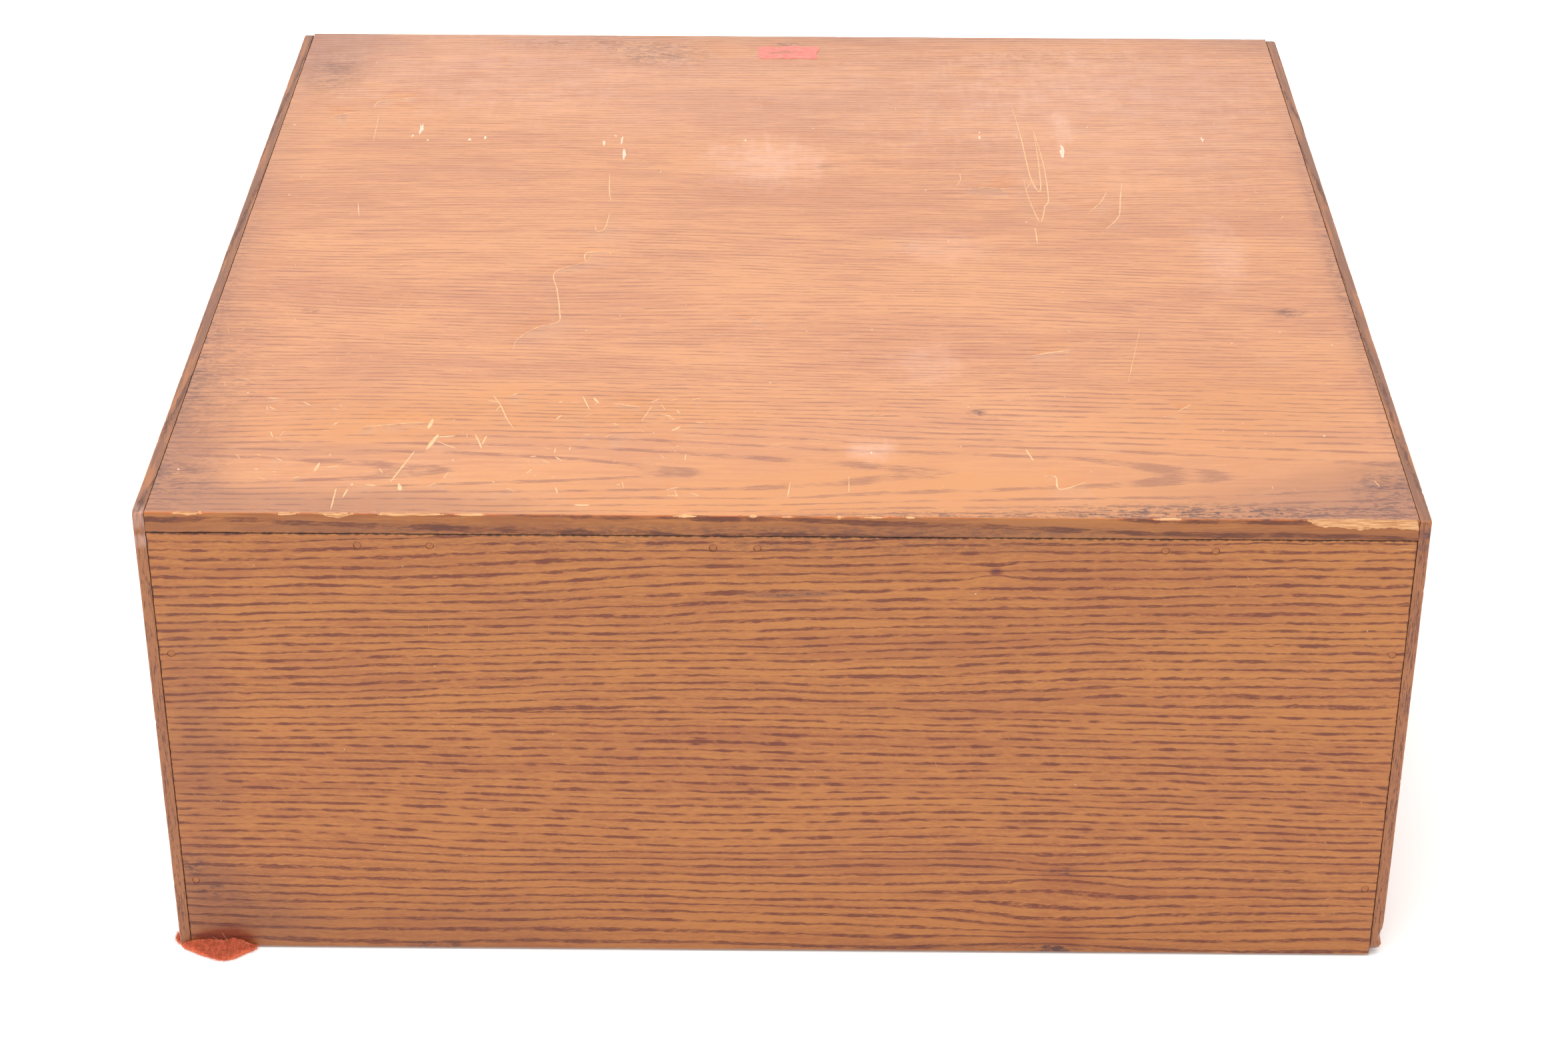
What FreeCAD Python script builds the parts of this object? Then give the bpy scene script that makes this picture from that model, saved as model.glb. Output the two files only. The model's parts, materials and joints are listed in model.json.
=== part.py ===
import FreeCAD, Part
import math
import os

# Tabletop oak type cabinet: a rabbeted, pegged carcass that holds four half-size type cases on side runners.
#
# Units are millimetres. The origin is on the table under the centre of the carcass, +Z is up, the four cases
# open towards -Y, and the plain back faces +Y. Each function makes the solids of one node, or of one kind of node.

# ---- Driving dimensions ----------------------------------------------------------------------------------------

# Carcass
WIDTH = 438.0
DEPTH = 431.5
HEIGHT = 184.0
FELT = 0.8  # pressed thickness of the felt that lifts the carcass off the table
SIDE_T = 12.7
LIP = 4.0  # what a side's rabbets leave standing outside the top, the back and the bottom
TOP_T = 16.0
TOP_LIP = 8.0  # what the top's rear rabbet leaves standing over the back
BACK_T = 8.0
BOTTOM_T = 9.5
ARRIS = 0.8  # rounding of the carcass's handled edges

# Type cases
CASES = 4
CASE_W = 409.6  # 16 1/8 inch
CASE_L = 419.0  # 16 1/2 inch
REVEAL = 1.2  # gap over, under and between the case fronts
FRONT_T = 14.0
WALL_T = 9.0  # case sides and back
WALL_H = 36.5
HOUSING = 7.0  # how far the front's rabbets take in the case sides
BACK_HOUSING = 4.5
CASE_BOTTOM_T = 3.2
BOTTOM_LEDGE = 5.0  # rabbet in the case walls that takes the bottom

# Dividers
STRIP_T = 2.4
STRIP_H = 28.0
BAR_T = 6.0
TENON = 1.5  # how far strips are let into the walls
CAP_BOXES = 7  # boxes each way in a capital lay

# Runners
RUNNER_H = 6.0
RUNNER_OUT = 4.7
RUNNER_Z = 19.0  # runner's middle above the case's underside
GROOVE_H = 6.6
GROOVE_IN = 4.2
GROOVE_TOP_GAP = 0.1  # the groove's roof rides this close over the runner
GROOVE_START = 18.0  # the groove stops here behind the front face, and the runner's end is the case's stop
STOP_GAP = 0.3
RUNNER_TAIL = 6.0  # runner's end to the back panel
RUNNER_NOSE = 1.0  # rounding of its front end

# Pegs, brads and screws
PEG_R = 1.4
PEG_L = 22.0
PEG_SLACK = 0.02
TOP_PEG_Z = 171.5
TOP_PEG_X = (143.5, 119.0, 23.0, 8.0, -130.0, -147.0)
SIDE_PEG_Z = {-1: (130.5, 30.5), 1: (127.5, 30.5)}
BRAD_R = 0.6
BRAD_L = 11.0
BRAD_HEAD_R = 1.1
BRAD_HEAD_T = 0.6
BRAD_SLACK = 0.03
BRADS_PER_RUNNER = 3
BRAD_INSET = 30.0

# Card-frame pulls
PLATE_W = 66.0
PLATE_H = 32.0
PLATE_T = 1.2
PLATE_CORNER = 2.5
FRAME_W = 50.0
FRAME_RIM = 2.4
FRAME_LIP = 1.2  # how far the rim's lip laps over the card
FRAME_LIP_T = 0.8
HOOD_R = 12.0
HOOD_T = 1.8
HOOD_W = 50.0
CARD_T = 0.3
CARD_SLACK = 0.2
CARD_SHORT = 0.5  # the card stands this far below the plate's top
SCREW_X = 29.0
SCREW_R = 1.25
SCREW_L = 10.0
SCREW_HEAD_R = 2.5
SCREW_HEAD_H = 1.3
SCREW_SLOT_W = 0.6
SCREW_SLOT_D = 0.6
SCREW_SLACK = 0.05

# Felt pads and label
PAD = 26.0
PAD_INSET = 7.0
LOOSE_PAD_CORNER = (203.0, DEPTH / 2 + 9.3)  # the pad that has slipped out under the rear corner
LOOSE_PAD_TURN = -40.0  # degrees from +X to the pad's outer edge
LABEL_W = 27.0
LABEL_H = 14.0
LABEL_T = 0.15
LABEL_X = 1.0
LABEL_FROM_FRONT = 19.6

# ---- Derived places --------------------------------------------------------------------------------------------

HALF_W = WIDTH / 2
HALF_D = DEPTH / 2
FRONT_Y = -HALF_D
INNER_X = HALF_W - SIDE_T
RABBET_X = HALF_W - LIP
TOP_Z = HEIGHT - TOP_T
FLOOR_Z = FELT + BOTTOM_T
CASE_X = CASE_W / 2
CASE_REAR = FRONT_Y + CASE_L
FRONT_H = (TOP_Z - FLOOR_Z - (CASES + 1) * REVEAL) / CASES
PITCH = FRONT_H + REVEAL
CLEAR_X = CASE_X - WALL_T  # inner faces of the case walls
CLEAR_Y = (FRONT_Y + FRONT_T, CASE_REAR - WALL_T)
RUNNER_Y = (FRONT_Y + GROOVE_START + STOP_GAP, HALF_D - BACK_T - RUNNER_TAIL)
SIGNS = {"left": -1, "right": 1}


def case_z(number):
    """Underside of case number 1 (the top one) to CASES (the bottom one)."""
    return FLOOR_Z + REVEAL + (CASES - number) * PITCH


# ---- Helpers ---------------------------------------------------------------------------------------------------


def block(xs, ys, zs):
    """A box between two values along each axis, given in either order."""
    lows = [min(pair) for pair in (xs, ys, zs)]
    sizes = [abs(pair[1] - pair[0]) for pair in (xs, ys, zs)]
    return Part.makeBox(*sizes, FreeCAD.Vector(*lows))


def rod(radius, length, start, direction):
    return Part.makeCylinder(radius, length, FreeCAD.Vector(*start), FreeCAD.Vector(*direction))


def plate(outline, z, height):
    """A closed outline of (x, y) points, extruded up from z."""
    points = [FreeCAD.Vector(x, y, z) for x, y in outline]
    face = Part.Face(Part.makePolygon(points + points[:1]))
    return face.extrude(FreeCAD.Vector(0, 0, height))


def cut_all(shape, tools):
    """shape without the tools."""
    return shape.cut(tools) if tools else shape


def soften(shape, radius, wanted):
    """Rounds the edges whose middle and direction the wanted function accepts."""
    edges = []
    for edge in shape.Edges:
        middle = edge.valueAt((edge.FirstParameter + edge.LastParameter) / 2)
        direction = edge.tangentAt(edge.FirstParameter)
        if wanted(middle, direction):
            edges.append(edge)
    return shape.makeFillet(radius, edges)


def near(a, b):
    return abs(a - b) < 1e-6


# ---- Carcass ---------------------------------------------------------------------------------------------------


def side_panel(sign):
    """A side: rabbets take the top, the back and the bottom, and leave a thin lip outside them."""
    outer, inner, rabbet = sign * HALF_W, sign * INNER_X, sign * RABBET_X
    body = block((outer, inner), (-HALF_D, HALF_D), (FELT, HEIGHT))
    rabbets = [
        block((rabbet, inner), (-HALF_D, HALF_D), (TOP_Z, HEIGHT)),
        block((rabbet, inner), (HALF_D - BACK_T, HALF_D), (FELT, HEIGHT)),
        block((rabbet, inner), (-HALF_D, HALF_D), (FELT, FLOOR_Z)),
    ]
    body = body.cut(rabbets)
    body = soften(body, ARRIS, lambda middle, direction: near(middle.x, outer))
    return cut_all(body, peg_holes() + brad_holes(sign))


def top_panel():
    """The top: it lies in the sides' rabbets, and its own rear rabbet laps over the back."""
    body = block((-RABBET_X, RABBET_X), (-HALF_D, HALF_D), (TOP_Z, HEIGHT))
    seat = block((-RABBET_X, RABBET_X), (HALF_D - BACK_T, HALF_D), (TOP_Z, HEIGHT - TOP_LIP))
    body = body.cut(seat)
    body = soften(
        body,
        ARRIS,
        lambda middle, direction: near(middle.z, HEIGHT) and near(abs(middle.y), HALF_D),
    )
    return cut_all(body, peg_holes())


def back_panel():
    body = block((-RABBET_X, RABBET_X), (HALF_D - BACK_T, HALF_D), (FELT, HEIGHT - TOP_LIP))
    return cut_all(body, peg_holes())


def bottom_panel():
    return block((-RABBET_X, RABBET_X), (-HALF_D, HALF_D - BACK_T), (FELT, FLOOR_Z))


def peg_places():
    """(x, z) of every peg on the back: three pairs into the top, and two into each side."""
    side_x = (RABBET_X + INNER_X) / 2
    on_top = [(x, TOP_PEG_Z) for x in TOP_PEG_X]
    on_sides = [(sign * side_x, z) for sign, heights in SIDE_PEG_Z.items() for z in heights]
    return on_top + on_sides


def pegs(radius):
    return [rod(radius, PEG_L, (x, HALF_D, z), (0, -1, 0)) for x, z in peg_places()]


def peg_holes():
    return pegs(PEG_R + PEG_SLACK)


def runner_z(number):
    """Lower and upper face of a case's runners."""
    middle = case_z(number) + RUNNER_Z
    return middle - RUNNER_H / 2, middle + RUNNER_H / 2


def brad_places():
    first, last = RUNNER_Y[0] + BRAD_INSET, RUNNER_Y[1] - BRAD_INSET
    step = (last - first) / (BRADS_PER_RUNNER - 1)
    return [first + i * step for i in range(BRADS_PER_RUNNER)]


def brad(sign, y, z, slack=0.0):
    """A flat-headed brad, driven outwards through a runner until its head is flush."""
    start = sign * (INNER_X - RUNNER_OUT)
    shank = rod(BRAD_R + slack, BRAD_L + slack, (start, y, z), (sign, 0, 0))
    head = rod(BRAD_HEAD_R + slack, BRAD_HEAD_T + slack, (start, y, z), (sign, 0, 0))
    return shank.fuse(head)


def brads_of(sign, number, slack=0.0):
    middle = sum(runner_z(number)) / 2
    return [brad(sign, y, middle, slack) for y in brad_places()]


def brad_holes(sign):
    numbers = range(1, CASES + 1)
    return [hole for number in numbers for hole in brads_of(sign, number, BRAD_SLACK)]


def runner(sign, number):
    """The strip that a case's side groove slides on. Its front end is rounded for an easy start."""
    inner = sign * INNER_X
    body = block((inner, inner - sign * RUNNER_OUT), RUNNER_Y, runner_z(number))
    tip_x = inner - sign * RUNNER_OUT
    body = soften(
        body,
        RUNNER_NOSE,
        lambda middle, direction: near(middle.x, tip_x) and near(middle.y, RUNNER_Y[0]),
    )
    return cut_all(body, brads_of(sign, number, BRAD_SLACK))


def runner_brads():
    numbers = range(1, CASES + 1)
    return [nail for sign in SIGNS.values() for number in numbers for nail in brads_of(sign, number)]


def pad_outline(corner, turn):
    """A square pad from one corner, with its first edge turned from +X, going clockwise."""
    first, second = math.radians(turn), math.radians(turn - 90)
    across = (PAD * math.cos(first), PAD * math.sin(first))
    down = (PAD * math.cos(second), PAD * math.sin(second))
    x, y = corner
    return [
        (x, y),
        (x + across[0], y + across[1]),
        (x + across[0] + down[0], y + across[1] + down[1]),
        (x + down[0], y + down[1]),
    ]


def felt_pads():
    """The three pads that are still where they were glued."""
    low_x, low_y = -HALF_W + PAD_INSET, -HALF_D + PAD_INSET + PAD
    high_x, high_y = HALF_W - PAD_INSET - PAD, HALF_D - PAD_INSET
    corners = [(low_x, low_y), (high_x, low_y), (low_x, high_y)]
    return [plate(pad_outline(corner, 0.0), 0.0, FELT) for corner in corners]


def loose_felt_pad():
    return plate(pad_outline(LOOSE_PAD_CORNER, LOOSE_PAD_TURN), 0.0, FELT)


def top_label():
    middle_y = FRONT_Y + LABEL_FROM_FRONT
    across = (LABEL_X - LABEL_W / 2, LABEL_X + LABEL_W / 2)
    return block(across, (middle_y - LABEL_H / 2, middle_y + LABEL_H / 2), (HEIGHT, HEIGHT + LABEL_T))


# ---- Dividers of a case ----------------------------------------------------------------------------------------


def strip_along(x, ys, low, thickness=STRIP_T):
    """A strip that runs front to back at x, standing on the case's bottom."""
    return block((x - thickness / 2, x + thickness / 2), ys, (low, low + STRIP_H))


def strip_across(xs, y, low):
    """A strip that runs side to side at y, standing on the case's bottom."""
    return block(xs, (y - STRIP_T / 2, y + STRIP_T / 2), (low, low + STRIP_H))


def even_middles(span, count, thickness):
    """Middles of the strips that part a span into equal boxes."""
    size = (span[1] - span[0] - (count - 1) * thickness) / count
    return [span[0] + (i + 1) * size + (i + 0.5) * thickness for i in range(count - 1)]


def share_middles(span, shares, thickness):
    """Middles of the strips that part a span into boxes with the given shares of it."""
    free = span[1] - span[0] - (len(shares) - 1) * thickness
    places = []
    used = 0.0
    for i, share in enumerate(shares[:-1]):
        used += free * share / sum(shares)
        places.append(span[0] + used + (i + 0.5) * thickness)
    return places


def capital_lay(low):
    """Equal boxes: full-length strips half-lapped over full-width ones."""
    reach_y = (CLEAR_Y[0] - TENON, CLEAR_Y[1] + TENON)
    reach_x = (-CLEAR_X - TENON, CLEAR_X + TENON)
    xs = even_middles((-CLEAR_X, CLEAR_X), CAP_BOXES, STRIP_T)
    ys = even_middles(CLEAR_Y, CAP_BOXES, STRIP_T)
    upper = (low + STRIP_H / 2, low + STRIP_H)
    lower = (low, low + STRIP_H / 2)
    upper_laps = [block((x - STRIP_T / 2, x + STRIP_T / 2), reach_y, upper) for x in xs]
    lower_laps = [block(reach_x, (y - STRIP_T / 2, y + STRIP_T / 2), lower) for y in ys]
    along = [strip_along(x, reach_y, low).cut(lower_laps) for x in xs]
    across = [strip_across(reach_x, y, low).cut(upper_laps) for y in ys]
    return along, across


# Rows of a lower-case lay from the back of the case to its front: the row's depth, then the widths of its boxes.
LEFT_ROWS = ((1, (1, 1, 1, 1, 1, 1)), (2, (1, 2, 2, 1)), (2, (1, 2, 3)), (2, (2, 2, 1, 1)))
RIGHT_ROWS = ((1, (1, 1, 1, 1, 1, 1)), (2, (2, 1, 2, 1)), (2, (3, 2, 1)), (2, (2, 2, 2)))


def bays():
    """The two bays beside the middle bar, each with its rows."""
    edge = BAR_T / 2
    return (((-CLEAR_X, -edge), LEFT_ROWS), ((edge, CLEAR_X), RIGHT_ROWS))


def row_spans(rows):
    """(y span, box widths) of each row of a bay, from the back to the front."""
    places = share_middles((0.0, CLEAR_Y[1] - CLEAR_Y[0]), [depth for depth, widths in rows], STRIP_T)
    edges = [(CLEAR_Y[1] - place - STRIP_T / 2, CLEAR_Y[1] - place + STRIP_T / 2) for place in places]
    backs = [CLEAR_Y[1]] + [low for low, high in edges]
    fronts = [high for low, high in edges] + [CLEAR_Y[0]]
    return [((front, rear), widths) for front, rear, (depth, widths) in zip(fronts, backs, rows)]


def lower_case_lay(low):
    """Boxes of several sizes: a middle bar, cross strips let into it, and short strips between those."""
    along, across = [], []
    for span, rows in bays():
        spans = row_spans(rows)
        for (front, rear), widths in spans:
            for x in share_middles(span, widths, STRIP_T):
                at_front = TENON if near(front, CLEAR_Y[0]) else 0.0
                at_rear = TENON if near(rear, CLEAR_Y[1]) else 0.0
                along.append(strip_along(x, (front - at_front, rear + at_rear), low))
        for (front, rear), widths in spans[:-1]:
            across.append(strip_across((span[0] - TENON, span[1] + TENON), front - STRIP_T / 2, low))
    bar = strip_along(0.0, (CLEAR_Y[0] - TENON, CLEAR_Y[1] + TENON), low, BAR_T)
    return [bar.cut(across)] + along, across


def dividers(number):
    """The (front-to-back, side-to-side) strips of a case: the two upper cases hold lower-case letters."""
    low = case_z(number) + CASE_BOTTOM_T
    return lower_case_lay(low) if number <= 2 else capital_lay(low)


# ---- Walls of a case -------------------------------------------------------------------------------------------


def case_front(number, along):
    """The front, rabbeted for the sides and the bottom, and bored for the pull's screws."""
    low = case_z(number)
    inner_y = FRONT_Y + FRONT_T
    body = block((-CASE_X, CASE_X), (FRONT_Y, inner_y), (low, low + FRONT_H))
    cuts = [
        block(
            (-CLEAR_X - BOTTOM_LEDGE, CLEAR_X + BOTTOM_LEDGE),
            (inner_y - BOTTOM_LEDGE, inner_y),
            (low, low + CASE_BOTTOM_T),
        )
    ]
    for sign in SIGNS.values():
        cuts.append(block((sign * CASE_X, sign * CLEAR_X), (inner_y - HOUSING, inner_y), (low, low + WALL_H)))
        cuts.append(rod(SCREW_R + SCREW_SLACK, SCREW_L, (sign * SCREW_X, FRONT_Y, pull_z(number)), (0, 1, 0)))
    body = body.cut(cuts + along)
    return soften(
        body,
        ARRIS,
        lambda middle, direction: near(middle.y, FRONT_Y)
        and (near(abs(middle.x), CASE_X) or near(middle.z, low) or near(middle.z, low + FRONT_H)),
    )


def case_side(sign, number, across):
    """A case side: grooved outside for its runner, rabbeted inside for the bottom and the back."""
    low = case_z(number)
    outer, inner = sign * CASE_X, sign * CLEAR_X
    start = FRONT_Y + FRONT_T - HOUSING
    body = block((outer, inner), (start, CASE_REAR), (low, low + WALL_H))
    roof = runner_z(number)[1] + GROOVE_TOP_GAP
    cuts = [
        block((outer, outer - sign * GROOVE_IN), (FRONT_Y + GROOVE_START, CASE_REAR), (roof - GROOVE_H, roof)),
        block((inner, inner + sign * BOTTOM_LEDGE), (start, CASE_REAR), (low, low + CASE_BOTTOM_T)),
        block((inner, inner + sign * BACK_HOUSING), (CASE_REAR - WALL_T, CASE_REAR), (low, low + WALL_H)),
    ]
    return body.cut(cuts + across)


def case_back(number, along):
    low = case_z(number)
    reach = CLEAR_X + BACK_HOUSING
    body = block((-reach, reach), (CASE_REAR - WALL_T, CASE_REAR), (low + CASE_BOTTOM_T, low + WALL_H))
    return body.cut(along)


def case_bottom(number):
    low = case_z(number)
    reach = CLEAR_X + BOTTOM_LEDGE
    ys = (FRONT_Y + FRONT_T - BOTTOM_LEDGE, CASE_REAR)
    return block((-reach, reach), ys, (low, low + CASE_BOTTOM_T))


# ---- Pull and card ---------------------------------------------------------------------------------------------


def pull_z(number):
    """Height of the pull's middle."""
    return case_z(number) + FRONT_H / 2


def card_box(number):
    """Width, thickness and height spans of the pocket that holds the card."""
    z = pull_z(number)
    half = FRAME_W / 2 - FRAME_RIM
    hood_top = z - PLATE_H / 2 + HOOD_R
    return (-half, half), (FRONT_Y - PLATE_T, FRONT_Y - PLATE_T - CARD_T - CARD_SLACK), (hood_top, z + PLATE_H / 2)


def pull(number):
    """A brass plate with a card frame on its upper half and a finger hood under it, in one piece."""
    z = pull_z(number)
    low, high = z - PLATE_H / 2, z + PLATE_H / 2
    plate_y = FRONT_Y - PLATE_T
    body = block((-PLATE_W / 2, PLATE_W / 2), (FRONT_Y, plate_y), (low, high))
    body = soften(body, PLATE_CORNER, lambda middle, direction: near(abs(direction.y), 1.0))

    card_x, card_y, card_z = card_box(number)
    lip_y = card_y[1] - FRAME_LIP_T
    rim = block((-FRAME_W / 2, FRAME_W / 2), (plate_y, lip_y), (card_z[0] - FRAME_RIM, high))
    window = block(
        (card_x[0] + FRAME_LIP, card_x[1] - FRAME_LIP),
        (plate_y, lip_y),
        (card_z[0] + FRAME_LIP, high),
    )
    rim = rim.cut([block(card_x, card_y, card_z), window])

    axis_start = (-HOOD_W / 2, plate_y, low)
    hood = rod(HOOD_R, HOOD_W, axis_start, (1, 0, 0))
    hollow = rod(HOOD_R - HOOD_T, HOOD_W - 2 * HOOD_T, (-HOOD_W / 2 + HOOD_T, plate_y, low), (1, 0, 0))
    quarter = block((-HOOD_W / 2, HOOD_W / 2), (plate_y, plate_y - HOOD_R), (low, low + HOOD_R))
    hood = hood.cut(hollow).common(quarter)

    body = body.fuse([rim, hood]).removeSplitter()
    holes = [
        rod(SCREW_R + SCREW_SLACK, PLATE_T, (sign * SCREW_X, FRONT_Y, z), (0, -1, 0)) for sign in SIGNS.values()
    ]
    return body.cut(holes)


def card(number):
    """The blank card in the frame."""
    xs, ys, zs = card_box(number)
    side = CARD_SLACK / 2
    return block((xs[0] + side, xs[1] - side), (ys[0], ys[0] - CARD_T), (zs[0], zs[1] - CARD_SHORT))


def pull_screws(number):
    """Two round-head slotted screws."""
    z = pull_z(number)
    seat_y = FRONT_Y - PLATE_T
    dome_r = (SCREW_HEAD_R**2 + SCREW_HEAD_H**2) / (2 * SCREW_HEAD_H)
    screws = []
    for sign in SIGNS.values():
        x = sign * SCREW_X
        shank = rod(SCREW_R, SCREW_L, (x, seat_y, z), (0, 1, 0))
        ball = Part.makeSphere(dome_r, FreeCAD.Vector(x, seat_y - SCREW_HEAD_H + dome_r, z))
        head = ball.common(rod(SCREW_HEAD_R, SCREW_HEAD_H, (x, seat_y, z), (0, -1, 0)))
        slot = block(
            (x - SCREW_HEAD_R, x + SCREW_HEAD_R),
            (seat_y - SCREW_HEAD_H, seat_y - SCREW_HEAD_H + SCREW_SLOT_D),
            (z - SCREW_SLOT_W / 2, z + SCREW_SLOT_W / 2),
        )
        screws.append(head.cut(slot).fuse(shank))
    return screws


# ---- Export ----------------------------------------------------------------------------------------------------


def export(name, shapes):
    """Writes one STEP file from one shape or from a list of separate solids."""
    if isinstance(shapes, list):
        shapes = Part.makeCompound([solid for shape in shapes for solid in shape.Solids])
    shapes.exportStep(os.path.join("parts", name + ".step"))


def export_carcass():
    for name, sign in SIGNS.items():
        export(name + "_side", side_panel(sign))
        for number in range(1, CASES + 1):
            export(f"runner_{name}_{number}", runner(sign, number))
    export("top_panel", top_panel())
    export("back_panel", back_panel())
    export("bottom_panel", bottom_panel())
    export("back_pegs", pegs(PEG_R))
    export("runner_brads", runner_brads())
    export("felt_pads", felt_pads())
    export("loose_felt_pad", loose_felt_pad())
    export("top_label", top_label())


def export_case(number):
    prefix = f"case_{number}_"
    along, across = dividers(number)
    export(prefix + "long_dividers", along)
    export(prefix + "cross_dividers", across)
    export(prefix + "front", case_front(number, along))
    export(prefix + "back", case_back(number, along))
    export(prefix + "bottom", case_bottom(number))
    for name, sign in SIGNS.items():
        export(f"{prefix}{name}_side", case_side(sign, number, across))
    export(prefix + "pull", pull(number))
    export(prefix + "pull_screws", pull_screws(number))
    export(prefix + "card", card(number))


os.makedirs("parts", exist_ok=True)
export_carcass()
for case_number in range(1, CASES + 1):
    export_case(case_number)
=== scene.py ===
"""Looks of the tabletop type cabinet.

Lengths are millimetres until a mesh is made, in the frame's own axes: +Z up, the cases open towards -Y, and
the worn plain back faces +Y. A board is built from its outer face: `a` and `b` run along that face, and
`depth` goes into the wood.
"""

import json
import math
import random
from collections import namedtuple

import bmesh
import bpy
from mathutils import Matrix, Vector
from mathutils.geometry import delaunay_2d_cdt
from mathutils.noise import noise

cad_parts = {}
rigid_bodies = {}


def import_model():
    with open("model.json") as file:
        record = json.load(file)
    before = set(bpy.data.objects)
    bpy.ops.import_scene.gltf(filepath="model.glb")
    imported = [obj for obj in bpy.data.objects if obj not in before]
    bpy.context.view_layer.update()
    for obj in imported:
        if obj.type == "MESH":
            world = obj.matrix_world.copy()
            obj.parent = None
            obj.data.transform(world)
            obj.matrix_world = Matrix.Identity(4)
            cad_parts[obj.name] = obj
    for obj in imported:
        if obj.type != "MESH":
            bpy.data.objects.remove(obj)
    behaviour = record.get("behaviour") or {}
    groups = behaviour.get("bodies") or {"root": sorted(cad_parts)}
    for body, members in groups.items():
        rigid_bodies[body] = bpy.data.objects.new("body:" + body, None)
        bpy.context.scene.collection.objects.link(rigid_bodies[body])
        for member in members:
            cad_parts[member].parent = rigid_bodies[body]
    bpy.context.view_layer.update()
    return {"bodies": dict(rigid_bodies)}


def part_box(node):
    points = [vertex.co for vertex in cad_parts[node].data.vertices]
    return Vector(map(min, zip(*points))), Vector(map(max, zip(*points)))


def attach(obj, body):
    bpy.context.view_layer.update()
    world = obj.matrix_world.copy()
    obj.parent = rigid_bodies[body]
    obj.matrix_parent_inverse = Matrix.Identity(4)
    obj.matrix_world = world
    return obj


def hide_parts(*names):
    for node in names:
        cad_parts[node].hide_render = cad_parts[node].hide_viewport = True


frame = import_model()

METRE = 0.001
FAR = 9999.0


# ---- Places, from the frame --------------------------------------------------------------------------------


class Box:
    """A node's box in millimetres."""

    def __init__(self, node):
        low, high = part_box(node)
        self.low = Vector(low) / METRE
        self.high = Vector(high) / METRE


TOP = Box("top_panel")
BACK = Box("back_panel")
LEFT = Box("left_side")
RIGHT = Box("right_side")
BOTTOM = Box("bottom_panel")
PEG_BOX = Box("back_pegs")
SEATED_PADS = Box("felt_pads")
LOOSE_PAD = Box("loose_felt_pad")

WIDTH = RIGHT.high.x - LEFT.low.x
REAR_Y = BACK.high.y
TOP_Z = TOP.high.z
CASES = [name for name in frame["bodies"] if name != "carcass"]


def noise_at(x, y=0.0, z=0.0):
    return noise(Vector((x, y, z)))


def round_turns(count):
    """Angles spaced evenly round a circle."""
    return [2 * math.pi * i / count for i in range(count)]


# ---- Materials ---------------------------------------------------------------------------------------------


def rgb(red, green, blue):
    """A linear colour from display values of 0 to 255."""
    linear = []
    for value in (red / 255, green / 255, blue / 255):
        linear.append(value / 12.92 if value <= 0.04045 else ((value + 0.055) / 1.055) ** 2.4)
    return (*linear, 1.0)


class Signal:
    """A number that varies over a surface. Arithmetic on it adds Math nodes."""

    def __init__(self, surface, socket):
        self.surface = surface
        self.socket = socket

    def __add__(self, other):
        return self.surface.math("ADD", self, other)

    def __sub__(self, other):
        return self.surface.math("SUBTRACT", self, other)

    def __rsub__(self, other):
        return self.surface.math("SUBTRACT", other, self)

    def __mul__(self, other):
        return self.surface.math("MULTIPLY", self, other)

    def __truediv__(self, other):
        return self.surface.math("DIVIDE", self, other)

    __radd__ = __add__


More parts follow.
